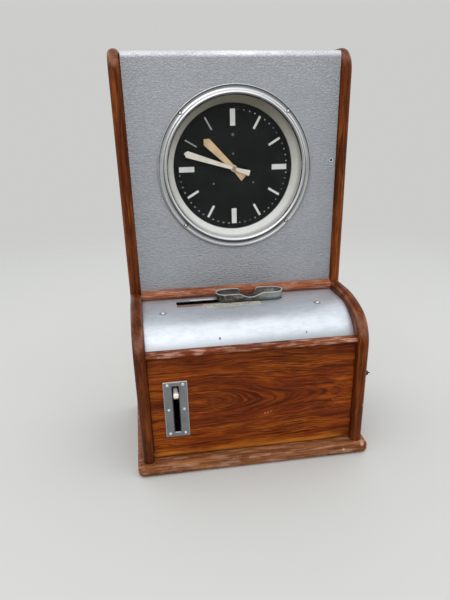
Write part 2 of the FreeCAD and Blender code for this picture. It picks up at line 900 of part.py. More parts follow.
def hand(sizes, front_y, angle, bore):
    # A blade that widens from the hub to its shoulders and ends in a point, with a square tail.
    reach, tail, width, waist, point, tail_width = sizes
    half_length = hand_waist_half_length
    half_blade = [
        (tail_width / 2, -tail), (waist / 2, -half_length), (waist / 2, half_length),
        (width / 2, reach - point),
    ]
    mirrored = [(-x, z) for x, z in reversed(half_blade)]
    outline = half_blade + [(0, reach)] + mirrored
    blade = slab("y", front_y, front_y + hand_sheet, [(x, dial_z + z) for x, z in outline])
    boss = rod("y", front_y, front_y + hand_sheet, (0, dial_z), bore + hand_boss_margin)
    blade = blade.fuse(boss).removeSplitter()
    blade.rotate(Vector(0, 0, dial_z), Vector(0, 1, 0), angle)
    return blade.cut(rod("y", front_y - 1, front_y + hand_sheet + 1, (0, dial_z), bore))


def minute_hand():
    sizes = (minute_hand_reach, minute_hand_tail, minute_hand_width, minute_hand_waist,
             minute_hand_point, minute_hand_tail_width)
    return hand(sizes, minute_hand_y, minute_hand_angle, arbor_radius)


def hour_hand():
    sizes = (hour_hand_reach, hour_hand_tail, hour_hand_width, hour_hand_waist,
             hour_hand_point, hour_hand_tail_width)
    return hand(sizes, hour_hand_y, hour_hand_angle, hour_pipe_radius)


def hand_nut():
    half = hand_nut_width / 2
    front_y = minute_hand_y - hand_nut_thickness
    nut = block((-half, half), (front_y, minute_hand_y), (dial_z - half, dial_z + half))
    picked = edges_where(nut, lambda e: on_plane(e, "y", front_y))
    nut = nut.makeChamfer(hand_nut_bevel, picked)
    nut.rotate(Vector(0, 0, dial_z), Vector(0, 1, 0), minute_hand_angle)
    return nut.cut(rod("y", front_y - 1, minute_hand_y + 1, (0, dial_z), arbor_radius))


# Wheels with teeth

def toothed(axis, start, end, centre, teeth, module, phase):
    # Straight-flanked teeth; phase is the angle in degrees of one tooth's middle.
    pitch = module * teeth / 2
    tip = pitch + tooth_tip_rise * module
    root = pitch - tooth_root_drop * module
    corners = ((-tooth_root_share, root), (-tooth_tip_share, tip), (tooth_tip_share, tip),
               (tooth_root_share, root))
    step = math.pi / teeth
    outline = []
    for tooth in range(teeth):
        middle = math.radians(phase) + 2 * step * tooth
        for turn, radius in corners:
            angle = middle + turn * step
            outline.append((centre[0] + radius * math.cos(angle),
                            centre[1] + radius * math.sin(angle)))
    return slab(axis, start, end, outline)


def ratchet(axis, start, end, centre, bore):
    outline = []
    for tooth in range(ratchet_teeth):
        angle = 2 * math.pi * tooth / ratchet_teeth
        for turn, radius in ((0.0, ratchet_radius),
                             (ratchet_tooth_share, ratchet_radius - ratchet_tooth_depth)):
            swung = angle + turn * 2 * math.pi / ratchet_teeth
            outline.append((centre[0] + radius * math.cos(swung),
                            centre[1] + radius * math.sin(swung)))
    disc = slab(axis, start, end, outline)
    return disc.cut(rod(axis, start - 1, end + 1, centre, bore))


# Going train behind the dial

# Below the centre a tooth of each pinion stands in a gap of its wheel.
down = -90.0
up = 90.0


def minute_arbor():
    centre = (0, dial_z)
    arbor = rod("y", minute_hand_y - arbor_past_hand, movement_back_y + movement_sheet, centre,
                arbor_radius)
    cannon = rod("y", minute_hand_y + hand_sheet, minute_pinion_ys[1], centre, cannon_radius)
    pinion = toothed("y", *minute_pinion_ys, centre, pinion_teeth, first_module, down)
    return join([arbor, cannon, pinion])


def dial_ratchet():
    half = ratchet_thickness / 2
    return ratchet("y", dial_ratchet_y - half, dial_ratchet_y + half, (0, dial_z), arbor_radius)


def motion_wheel():
    # Idle wheel and pinion on one sleeve, turning on the stud below the centre.
    centre = (0, stud_z)
    wheel = toothed("y", *minute_wheel_ys, centre, carry_teeth, first_module,
                    up + 180 / carry_teeth)
    pinion = toothed("y", hour_wheel_ys[0], minute_wheel_ys[0], centre, pinion_teeth,
                     second_module, up)
    bore = rod("y", hour_wheel_ys[0] - 1, minute_wheel_ys[1] + 1, centre, arbor_radius + running_gap)
    return join([wheel, pinion]).cut(bore)


def hour_wheel():
    centre = (0, dial_z)
    wheel = toothed("y", *hour_wheel_ys, centre, hour_teeth, second_module,
                    down + 180 / hour_teeth)
    pipe = rod("y", hour_hand_y, hour_wheel_ys[1], centre, hour_pipe_radius)
    bore = rod("y", hour_hand_y - 1, hour_wheel_ys[1] + 1, centre, cannon_radius + running_gap)
    return join([wheel, pipe]).cut(bore)


def movement_plate(front_y):
    plate = block((-movement_half_width, movement_half_width), (front_y, front_y + movement_sheet),
                  (dial_z - movement_below, dial_z + movement_above))
    plate = plate.cut(rod("y", front_y - 1, front_y + 3, (0, dial_z), arbor_radius + running_gap))
    pivot = (armature_side, dial_z - armature_drop)
    return plate.cut(rod("y", front_y - 1, front_y + 3, pivot, arbor_radius + running_gap))


def movement_front_plate():
    plate = movement_plate(movement_front_y)
    stud = rod("y", hour_wheel_ys[0] - motion_stud_reach, movement_front_y, (0, stud_z),
               arbor_radius)
    return join([plate, stud])


def movement_back_plate():
    return movement_plate(movement_back_y)


def movement_pillars():
    # Four between the plates, and three that the dial is screwed to.
    pillars = []
    corner_x = movement_half_width - pillar_inset
    for x in (-corner_x, corner_x):
        for z in (dial_z - movement_below + pillar_inset, dial_z + movement_above - pillar_inset):
            pillars.append(many_sided("y", movement_front_y + movement_sheet, movement_back_y,
                                      (x, z), pillar_radius, 6))
    for x, z in dial_screw_places:
        foot = many_sided("y", dial_face_y + dial_sheet, movement_front_y, (x, dial_z + z),
                          pillar_radius, 6)
        pillars.append(foot.cut(dial_screws()))
    return Part.makeCompound(pillars)


# Impulse magnet, made in its own plane: u to the side, v up, w along the wheel's arbor

def impulse_armature(pivot_from, pivot_to):
    centre = (armature_side, -armature_drop)
    pivot = rod("z", pivot_from, pivot_to, centre, arbor_radius)
    hub = many_sided("z", -armature_width / 2, armature_width / 2, centre, armature_hub_radius, 12)
    plate = block((-magnet_offset - armature_overhang, armature_side),
                  (-armature_drop - armature_thickness / 2, -armature_drop + armature_thickness / 2),
                  (-armature_width / 2, armature_width / 2))
    reach = -ratchet_radius - pawl_gap
    half = pawl_sheet / 2
    pawl = slab("z", -half, half, [
        (armature_side - pawl_sheet, -armature_drop), (armature_side + pawl_sheet, -armature_drop),
        (armature_side + pawl_neck, reach - pawl_nose), (armature_side, reach),
        (armature_side - pawl_neck, reach - pawl_nose)])
    return join([pivot, hub, plate, pawl])


def impulse_magnet(seat_w):
    # Coil on its iron core, with a yoke that reaches back to the plate carrying it.
    top = -armature_drop - armature_thickness / 2 - magnet_air_gap
    foot = top - coil_length - 2 * coil_end_gap
    coil = many_sided("y", foot + coil_end_gap, top - coil_end_gap, (-magnet_offset, 0), coil_radius, 16)
    half = core_width / 2
    core = block((-magnet_offset - half, -magnet_offset + half), (foot, top), (-half, half))
    bar_xs = (-magnet_offset - core_width,
              -magnet_offset + coil_radius + yoke_side_gap + yoke_sheet)
    reach = core_width - 1
    low_bar = block(bar_xs, (foot - yoke_sheet, foot), (-reach, reach))
    side_bar = block((bar_xs[1] - yoke_sheet, bar_xs[1]), (foot - yoke_sheet, top - yoke_top_drop),
                     (-reach, reach))
    lug = block(bar_xs, (foot - yoke_sheet, foot), (-reach, seat_w))
    return join([coil, core, low_bar, side_bar, lug])


def placed(shape, where):
    # The dial's magnet faces the back, the stamping works' one faces the right.
    if where == "dial":
        shape.rotate(Vector(0, 0, 0), Vector(1, 0, 0), 90)
        shape.translate(Vector(0, dial_ratchet_y, dial_z))
    else:
        shape.rotate(Vector(0, 0, 0), Vector(1, 1, 1), 120)
        shape.translate(Vector(type_ratchet_x, type_y, type_z))
    return shape


def dial_armature():
    back = dial_ratchet_y - movement_back_y - movement_sheet
    return placed(impulse_armature(back, dial_ratchet_y - movement_front_y), "dial")


def dial_magnet():
    return placed(impulse_magnet(dial_ratchet_y - movement_back_y), "dial")


def type_armature():
    return placed(impulse_armature(bracket_left_x - type_ratchet_x, bracket_right_x - type_ratchet_x),
                  "type")


def type_magnet():
    return placed(impulse_magnet(bracket_right_x - bracket_sheet - type_ratchet_x), "type")


# Card guide and its carriage

def oval_flare(low_radius, high_radius, low_z, high_z):
    # A cone at each end, about the same two centres, and a straight middle between them.
    parts = [slab("x", guide_x - guide_end_offset, guide_x + guide_end_offset, [
        (card_plane_y - low_radius, low_z), (card_plane_y + low_radius, low_z),
        (card_plane_y + high_radius, high_z), (card_plane_y - high_radius, high_z)])]
    for side in (-1, 1):
        foot = Vector(guide_x + side * guide_end_offset, card_plane_y, low_z)
        parts.append(Part.makeCone(low_radius, high_radius, high_z - low_z, foot, Vector(0, 0, 1)))
    return join(parts)


def card_guide():
    # A cast funnel: flared oval walls, a floor that slopes to the throat, and finger notches.
    foot_z = cover_top_z + guide_lift
    rim_z = foot_z + guide_rise
    outer = oval_flare(guide_foot_depth / 2, guide_rim_depth / 2, foot_z, rim_z)
    inner = oval_flare(guide_floor_depth / 2, guide_rim_depth / 2 - guide_wall,
                       foot_z + guide_wall, rim_z)
    neck = rounded_block((guide_x - neck_length / 2, guide_x + neck_length / 2),
                         (card_plane_y - neck_width / 2, card_plane_y + neck_width / 2),
                         (carriage_top_z, foot_z + 1), "z", neck_corner_radius)
    guide = join([outer, neck]).cut(inner)
    top_half = notch_top_width / 2
    low_half = notch_bottom_width / 2
    notch = slab("y", card_plane_y - guide_rim_depth, card_plane_y + guide_rim_depth, [
        (guide_x - top_half, rim_z + 1), (guide_x - low_half, rim_z - notch_depth),
        (guide_x + low_half, rim_z - notch_depth), (guide_x + top_half, rim_z + 1)])
    picked = edges_where(notch, lambda e: on_plane(e, "z", rim_z - notch_depth)
                         and e.BoundBox.YLength > 1)
    guide = guide.cut(notch.makeFillet(notch_corner_radius, picked))
    lips = edges_where(guide, lambda e: on_plane(e, "z", rim_z) and e.BoundBox.XLength < 1e-4)
    return guide.makeFillet(notch_lip_radius, lips).cut(card_throat(rim_z))


def card_throat(top_z):
    return block((guide_x - throat_length / 2, guide_x + throat_length / 2),
                 (card_plane_y - throat_width / 2, card_plane_y + throat_width / 2),
                 (card_stop_z + card_stop_thickness, top_z))


def guide_carriage():
    # Two bearing bars on the rails, joined beside the throat, carry the channels for the card.
    bottom_z = carriage_top_z - carriage_thickness
    half = carriage_length / 2
    front_y = card_plane_y - carriage_depth / 2
    back = card_plane_y + carriage_depth / 2
    pieces = []
    for side in (-1, 1):
        xs = (guide_x + side * half, guide_x + side * (half - carriage_bar))
        pieces.append(block(xs, (front_y, back), (bottom_z, carriage_top_z)))
        edge = guide_x + side * (channel_span / 2)
        outside = guide_x + side * (channel_span / 2 + channel_depth)
        pieces.append(block((edge, outside), (type_front_y, card_plane_y + channel_half),
                            (card_stop_z, bottom_z + 1)))
    deck_half = neck_width / 2 + deck_margin
    pieces.append(block((guide_x - half, guide_x + half),
                        (card_plane_y - deck_half, card_plane_y + deck_half),
                        (carriage_top_z - deck_thickness, carriage_top_z)))
    pieces.append(block((guide_x - channel_span / 2 - channel_depth,
                         guide_x + channel_span / 2 + channel_depth),
                        (type_front_y, card_plane_y + channel_half),
                        (card_stop_z, card_stop_z + card_stop_thickness)))
    carriage = join(pieces).cut(card_throat(carriage_top_z + 1))
    for y in (card_plane_y - rail_spacing / 2, card_plane_y + rail_spacing / 2):
        bore = rod("x", guide_x - half - 1, guide_x + half + 1, (y, rail_z), rail_radius + running_gap)
        carriage = carriage.cut(bore)
    return carriage


def slide_rails():
    rails = [rod("x", frame_left_x, frame_right_x, (y, rail_z), rail_radius)
             for y in (card_plane_y - rail_spacing / 2, card_plane_y + rail_spacing / 2)]
    return Part.makeCompound(rails)


# Frame of the stamping works

def mechanism_frame():
    # One bent sheet: a floor on the plinth and two cheeks.
    floor = block((frame_left_x, frame_right_x), (frame_front_y, frame_back_y),
                  (plinth_height, frame_floor_z))
    outline = [
        (frame_front_y, plinth_height), (frame_front_y, frame_front_z),
        (card_plane_y - frame_head_reach, carriage_top_z - frame_step),
        (card_plane_y - frame_head_reach, carriage_top_z),
        (card_plane_y + frame_head_reach, carriage_top_z),
        (frame_back_y, frame_back_z), (frame_back_y, plinth_height),
    ]
    window_xs = (frame_front_y + window_inset, rock_y - rocker_hub_radius - window_inset)
    window = [
        (window_xs[0], window_bottom_z), (window_xs[0], frame_back_z),
        (window_xs[1], frame_back_z), (window_xs[1], window_bottom_z),
    ]
    cheeks = []
    for x in (frame_left_x, frame_right_x - frame_sheet):
        cheek = slab("x", x, x + frame_sheet, outline)
        opening = slab("x", x - 1, x + frame_sheet + 1, window)
        picked = edges_where(opening, lambda e: e.BoundBox.XLength > 1)
        opening = opening.makeChamfer(window_corner, picked)
        cheek = cheek.cut(opening)
        cheeks.append(cheek)
    frame = join([floor] + cheeks)
    bearing = rod("x", frame_left_x - 1, frame_right_x + 1, (rock_y, rock_z),
                  rock_radius + running_gap)
    return frame.cut(bearing).cut(slide_rails())


def rock_shaft():
    start = lever_x - lever_thickness / 2 - rock_end_reach
    return rod("x", start, frame_right_x + rock_end_reach, (rock_y, rock_z), rock_radius)


def stamp_lever():
    # The bar tapers from its hub to the slot, then runs straight out to the finger tip.
    slot_y = front_panel_y
    reach_y = rock_y - slot_y
    rise = lever_at_slot_z - rock_z
    length = math.hypot(reach_y, rise)
    root_y = lever_root_half * rise / length
    root_z = lever_root_half * reach_y / length
    half = lever_bar_height / 2
    outline = [
        (rock_y + root_y, rock_z + root_z),
        (slot_y, lever_at_slot_z + half), (lever_tip_y, lever_end_z + half),
        (lever_tip_y, lever_end_z - half), (slot_y, lever_at_slot_z - half),
        (rock_y - root_y, rock_z - root_z),
    ]
    xs = (lever_x - lever_thickness / 2, lever_x + lever_thickness / 2)
    bar = slab("x", *xs, outline)
    hub = rod("x", *xs, (rock_y, rock_z), rocker_hub_radius)
    return join([bar, hub]).cut(rock_shaft())


def lever_tip():
    half = lever_tip_width / 2
    tip = block((lever_x - half, lever_x + half), (lever_tip_y - lever_tip_length, lever_tip_y),
                (lever_end_z - lever_tip_height / 2, lever_end_z + lever_tip_height / 2))
    picked = edges_where(tip, lambda e: not on_plane(e, "y", lever_tip_y))
    return tip.makeChamfer(lever_tip_bevel, picked)


def hammer_at_rest(shape):
    # The hammer is drawn where it strikes and swung back by the lever's whole travel.
    shape.rotate(Vector(0, rock_y, rock_z), Vector(1, 0, 0), -stamp_angle)
    return shape


def stamp_hammer():
    xs = (print_x - hammer_thickness / 2, print_x + hammer_thickness / 2)
    low = type_z - hammer_face_height / 2
    high = type_z + hammer_face_height / 2
    elbow_z = rock_z + hammer_elbow_rise
    seat_y = hammer_face_y + hammer_head_depth - 1
    arm = slab("x", *xs, [
        (rock_y - hammer_arm_half, rock_z), (rock_y - hammer_arm_half, elbow_z), (seat_y, low),
        (seat_y, high), (seat_y + hammer_arm_depth, high),
        (rock_y + hammer_arm_half / 4, elbow_z), (rock_y + hammer_arm_half, rock_z)])
    head = block((print_x - hammer_face_width / 2, print_x + hammer_face_width / 2),
                 (hammer_face_y, hammer_face_y + hammer_head_depth), (low, high))
    hub = many_sided("x", xs[0] - hammer_hub_step, xs[1] + hammer_hub_step, (rock_y, rock_z),
                     rocker_hub_radius, 16)
    return hammer_at_rest(join([arm, head, hub])).cut(rock_shaft())


def hammer_pad():
    pad = block((print_x - hammer_face_width / 2, print_x + hammer_face_width / 2),
                (hammer_face_y - hammer_pad_thickness, hammer_face_y),
                (type_z - hammer_face_height / 2, type_z + hammer_face_height / 2))
    return hammer_at_rest(pad)


def return_spring():
    inner = rock_radius + spring_gap
    start = lever_x + lever_thickness / 2 + spring_gap
    coil = many_sided("x", start, frame_left_x, (rock_y, rock_z), inner + spring_wire, 16)
    return coil.cut(rod("x", start - 1, frame_left_x + 1, (rock_y, rock_z), inner))


# Type wheels and ribbon

def type_bracket():
    # A bent bracket on the frame's floor, with one upright each side of the type wheels.
    front_y = type_y - bracket_front_reach
    back = type_y + bracket_back_reach
    top_z = type_z + bracket_head
    outline = [
        (front_y, frame_floor_z), (front_y, type_z - armature_drop - bracket_head),
        (type_y - type_wheel_radius, top_z), (type_y, top_z), (back, type_z), (back, frame_floor_z),
    ]
    floor = block((bracket_left_x, bracket_right_x), (front_y, back),
                  (frame_floor_z, frame_floor_z + bracket_sheet))
    uprights = [slab("x", x, x + bracket_sheet, outline)
                for x in (bracket_left_x, bracket_right_x - bracket_sheet)]
    stud = rod("x", bracket_left_x, hour_gear_start_x + type_gear_width - side_play,
               (carry_y, carry_z), carry_stud_radius)
    bracket = join([floor, stud] + uprights)
    ends = (bracket_left_x - 1, bracket_right_x + 1)
    holes = [
        rod("x", *ends, (type_y, type_z), type_arbor_radius + running_gap),
        rod("x", *ends, (type_y + armature_side, type_z - armature_drop), arbor_radius + running_gap),
    ]
    return bracket.cut(holes)


def figure_wheel(start, end, figures, bore):
    # The figures stand up from the rim, one pad for each.
    outline = []
    step = 2 * math.pi / figures
    for figure in range(figures):
        middle = figure * step
        root = type_wheel_radius - figure_relief
        for turn, radius in ((-figure_root_share, root), (-figure_top_share, type_wheel_radius),
                             (figure_top_share, type_wheel_radius), (figure_root_share, root)):
            angle = middle + turn * step
            outline.append((type_y + radius * math.cos(angle), type_z + radius * math.sin(angle)))
    wheel = slab("x", start, end, outline)
    return wheel.cut(rod("x", start - 1, end + 1, (type_y, type_z), bore))


def minute_type_wheel():
    start = print_x + type_wheel_gap / 2
    return figure_wheel(start, start + type_wheel_width, minute_figures, type_arbor_radius)


def hour_type_wheel():
    end = print_x - type_wheel_gap / 2
    start = end - type_wheel_width
    bore = type_arbor_radius + running_gap
    wheel = figure_wheel(start, end, hour_figures, bore)
    gear = toothed("x", hour_gear_start_x, start, (type_y, type_z), hour_teeth, second_module,
                   carry_side_angle + 180 / hour_teeth)
    return join([wheel, gear.cut(rod("x", start - 5, end, (type_y, type_z), bore))])


def type_arbor():
    end = hour_gear_start_x - type_pinion_gap
    arbor = rod("x", bracket_left_x, bracket_right_x, (type_y, type_z), type_arbor_radius)
    pinion = toothed("x", end - type_gear_width, end, (type_y, type_z), pinion_teeth, first_module,
                     carry_side_angle)
    return join([arbor, pinion])


def type_ratchet():
    half = ratchet_thickness / 2
    return ratchet("x", type_ratchet_x - half, type_ratchet_x + half, (type_y, type_z),
                   type_arbor_radius)


def carry_wheel():
    # Turns on the bracket's stud: a sleeve beside the upright, then the wheel and the pinion.
    start = hour_gear_start_x
    centre = (carry_y, carry_z)
    facing = carry_side_angle - 180
    sleeve_start = bracket_left_x + bracket_sheet + side_play
    end = start + type_gear_width - side_play
    wheel_end = start - type_pinion_gap - carry_wheel_inset
    wheel_start = start - type_pinion_gap - type_gear_width + carry_wheel_inset
    sleeve = many_sided("x", sleeve_start, wheel_end, centre, carry_sleeve_radius, 12)
    wheel = toothed("x", wheel_start, wheel_end, centre, carry_teeth, first_module,
                    facing + 180 / carry_teeth)
    pinion = toothed("x", wheel_end, end, centre, pinion_teeth, second_module, facing)
    bore = rod("x", sleeve_start - 1, end + 1, centre, carry_stud_radius + running_gap)
    return join([sleeve, wheel, pinion]).cut(bore)


def spool_x(side):
    return print_x + side * spool_offset


def ribbon_spool(side):
    x = spool_x(side)
    low = type_z - spool_height / 2
    high = type_z + spool_height / 2
    wound = many_sided("z", low, high, (x, spool_y), spool_core_radius, 16)
    lower = many_sided("z", low, low + spool_flange, (x, spool_y), spool_flange_radius, 16)
    upper = many_sided("z", high - spool_flange, high, (x, spool_y), spool_flange_radius, 16)
    bore = rod("z", low - 1, high + 1, (x, spool_y), spool_axle_radius + running_gap)
    return join([wound, lower, upper]).cut(bore)


def ribbon_plates():
    # A shelf on each cheek with the spool's axle and the ribbon's guide pin.
    top = type_z - spool_height / 2 - side_play
    low = top - shelf_sheet
    front_y = spool_y - spool_flange_radius - shelf_front_margin
    pin_y = ribbon_back_y - ribbon_thickness - ribbon_pin_gap - ribbon_pin_radius
    shelves = []
    for side, cheek_x in ((-1, frame_left_x + frame_sheet), (1, frame_right_x - frame_sheet)):
        pin_x = print_x + side * ribbon_pin_offset
        near = pin_x - side * (ribbon_pin_radius + shelf_edge_margin)
        shelf = block((near, cheek_x), (front_y, ribbon_back_y - side_play), (low, top))
        axle = rod("z", low, type_z + spool_height / 2 + spool_axle_reach, (spool_x(side), spool_y),
                   spool_axle_radius)
        pin = many_sided("z", low, type_z + spool_height / 2 - ribbon_pin_drop, (pin_x, pin_y),
                         ribbon_pin_radius, 8)
        shelves.append(join([shelf, axle, pin]))
    return Part.makeCompound(shelves)


def tangent_point(point, centre, radius, side):
    # Where a line from the point touches the circle, on the chosen side.
    away_x = point[0] - centre[0]
    away_y = point[1] - centre[1]
    distance = math.hypot(away_x, away_y)
    angle = math.atan2(away_y, away_x) + side * math.acos(radius / distance)
    return (centre[0] + radius * math.cos(angle), centre[1] + radius * math.sin(angle))


def ink_ribbon():
    # A straight run behind the guide pins and a slanting run to each spool.
    front_y = ribbon_back_y - ribbon_thickness
    near, far = [], []
    for side in (-1, 1):
        turn_x = print_x + side * (ribbon_pin_offset + ribbon_pin_radius)
        wrap = spool_core_radius + ribbon_wrap_gap
        spool = (spool_x(side), spool_y)
        inside = tangent_point((turn_x, front_y), spool, wrap, -side)
        outside = tangent_point((turn_x, ribbon_back_y), spool, wrap + ribbon_thickness, -side)
        near.append((inside, (turn_x, front_y)))
        far.append((outside, (turn_x, ribbon_back_y)))
    outline = [near[0][0], near[0][1], near[1][1], near[1][0],
               far[1][0], far[1][1], far[0][1], far[0][0]]
    low = type_z - ribbon_width / 2
    return slab("z", low, low + ribbon_width, outline)


pieces = {
    "base_plinth": base_plinth(),
    "side_board_left": side_board(-1),
    "side_board_right": side_board(1),
    "back_panel": back_panel(),
    "cable_bush": cable_bush(),
    "terminal_block": terminal_block(),
    "panel_battens": panel_battens(),
    "dial_panel": dial_panel(),
    "dial_rail": dial_rail(),
    "curved_cover": curved_cover(),
    "cover_screws": cover_screws(),
    "cover_rail": cover_rail(),
    "cover_nosing": cover_nosing(),
    "front_panel": front_panel(),
    "door_pivots": door_pivots(),
    "lever_plate": lever_plate(),
    "lever_plate_screws": lever_plate_screws(),
    "lock_spindle": lock_spindle(),
    "lock_bush": lock_bush(),
    "bezel_ring": bezel_ring(),
    "bezel_screws": bezel_screws(),
    "dial_glass": dial_glass(),
    "reveal_ring": reveal_ring(),
    "dial_plate": dial_plate(),
    "dial_screws": dial_screws(),
    "hour_bars": hour_bars(),
    "minute_hand": minute_hand(),
    "hour_hand": hour_hand(),
    "hand_nut": hand_nut(),
    "minute_arbor": minute_arbor(),
    "dial_ratchet": dial_ratchet(),
    "motion_wheel": motion_wheel(),
    "hour_wheel": hour_wheel(),
    "movement_front_plate": movement_front_plate(),
    "movement_back_plate": movement_back_plate(),
    "movement_pillars": movement_pillars(),
    "dial_armature": dial_armature(),
    "dial_magnet": dial_magnet(),
    "card_guide": card_guide(),
    "guide_carriage": guide_carriage(),
    "slide_rails": slide_rails(),
    "mechanism_frame": mechanism_frame(),
    "rock_shaft": rock_shaft(),
    "stamp_lever": stamp_lever(),
    "lever_tip": lever_tip(),
    "stamp_hammer": stamp_hammer(),
    "hammer_pad": hammer_pad(),
    "return_spring": return_spring(),
    "type_bracket": type_bracket(),
    "type_arbor": type_arbor(),
    "minute_type_wheel": minute_type_wheel(),
    "hour_type_wheel": hour_type_wheel(),
    "type_ratchet": type_ratchet(),
    "carry_wheel": carry_wheel(),
    "type_armature": type_armature(),
    "type_magnet": type_magnet(),
    "ribbon_spool_left": ribbon_spool(-1),
    "ribbon_spool_right": ribbon_spool(1),
    "ribbon_plates": ribbon_plates(),
    "ink_ribbon": ink_ribbon(),
}

os.makedirs("parts", exist_ok=True)
for name, shape in pieces.items():
    shape.exportStep("parts/" + name + ".step")
    print(name, len(shape.Solids), "solids", round(shape.Volume, 1), "mm3", shape.isValid())
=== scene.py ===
# Time clock in an oak case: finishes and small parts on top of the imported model
import bmesh
import bpy
import json
import math
from mathutils import Matrix, Vector

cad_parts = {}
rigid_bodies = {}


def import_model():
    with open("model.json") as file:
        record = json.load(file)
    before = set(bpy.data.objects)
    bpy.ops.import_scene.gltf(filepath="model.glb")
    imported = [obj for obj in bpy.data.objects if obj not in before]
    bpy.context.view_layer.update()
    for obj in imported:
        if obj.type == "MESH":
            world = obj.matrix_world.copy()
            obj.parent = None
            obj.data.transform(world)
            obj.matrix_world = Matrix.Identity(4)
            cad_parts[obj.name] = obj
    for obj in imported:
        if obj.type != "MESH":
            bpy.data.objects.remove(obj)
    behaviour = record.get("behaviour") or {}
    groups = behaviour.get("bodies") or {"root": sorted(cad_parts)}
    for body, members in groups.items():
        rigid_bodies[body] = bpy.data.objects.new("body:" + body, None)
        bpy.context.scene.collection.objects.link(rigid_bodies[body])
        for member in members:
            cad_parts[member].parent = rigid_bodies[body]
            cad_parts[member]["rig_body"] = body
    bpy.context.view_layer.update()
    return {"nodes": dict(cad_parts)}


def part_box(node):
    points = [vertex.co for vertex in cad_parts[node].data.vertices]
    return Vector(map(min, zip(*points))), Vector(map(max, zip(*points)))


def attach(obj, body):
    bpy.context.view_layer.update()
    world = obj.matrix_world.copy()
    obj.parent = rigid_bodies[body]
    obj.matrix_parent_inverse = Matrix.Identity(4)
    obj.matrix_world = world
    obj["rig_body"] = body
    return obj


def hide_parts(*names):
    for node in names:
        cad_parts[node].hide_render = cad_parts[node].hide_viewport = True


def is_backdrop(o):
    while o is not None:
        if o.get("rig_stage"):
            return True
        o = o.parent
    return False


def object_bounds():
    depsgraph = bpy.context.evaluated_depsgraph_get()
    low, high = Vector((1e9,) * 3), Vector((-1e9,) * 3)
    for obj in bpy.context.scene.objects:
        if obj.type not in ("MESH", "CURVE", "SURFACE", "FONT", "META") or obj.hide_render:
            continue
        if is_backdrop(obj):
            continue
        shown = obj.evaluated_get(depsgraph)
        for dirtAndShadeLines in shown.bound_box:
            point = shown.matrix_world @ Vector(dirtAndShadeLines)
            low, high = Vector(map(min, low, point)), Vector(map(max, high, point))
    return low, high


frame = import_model()
nodes = frame["nodes"]
dialZ = 0.466  # height of the dial's middle
print("frame loaded:", len(nodes), "nodes")


# node trees written as sums

class Wire:
    # one output of a node, so that values can be added and multiplied
    def __init__(self, graph, output):
        self.graph = graph
        self.output = output


def reckoner(operation, swapped):
    def reckon(self, *other):
        return self.graph.calc(operation, *((*other, self) if swapped else (self, *other)))
    return reckon


signs = {"add": "ADD", "radd": "ADD", "sub": "SUBTRACT", "rsub": "SUBTRACT", "mul": "MULTIPLY", "rmul": "MULTIPLY",
         "truediv": "DIVIDE", "pow": "POWER", "gt": "GREATER_THAN", "lt": "LESS_THAN", "abs": "ABSOLUTE"}
for sign, operation in signs.items():
    setattr(Wire, "__" + sign + "__", reckoner(operation, sign.startswith("r")))


class Graph:
    # a node tree; add() makes a node, sets it up and gives one of its outputs
    def __init__(self, tree):
        self.tree = tree

    def add(self, kind, values=None, out=0, **settings):
        node = self.tree.nodes.new(kind)
        for key, value in settings.items():
            setattr(node, key, value)
        for key, value in (values or {}).items():
            if isinstance(value, Wire):
                self.tree.links.new(value.output, node.inputs[key])
            else:
                node.inputs[key].default_value = value
        return Wire(self, node.outputs[out])

    def geo(self, kind, values=None, **settings):
        return self.add("GeometryNode" + kind, values, **settings)

    def calc(self, operation, *values):
        return self.add("ShaderNodeMath", dict(enumerate(values)), operation=operation)

    def point(self, x, y, z):
        return self.add("ShaderNodeCombineXYZ", {0: x, 1: y, 2: z})


def tone(colour):
    # red, green and blue as seen on a screen, 0 to 255, as the shaders want them
    parts = [part / 255 for part in colour]
    return (*[part / 12.92 if part < 0.04045 else ((part + 0.055) / 1.055) ** 2.4 for part in parts], 1.0)


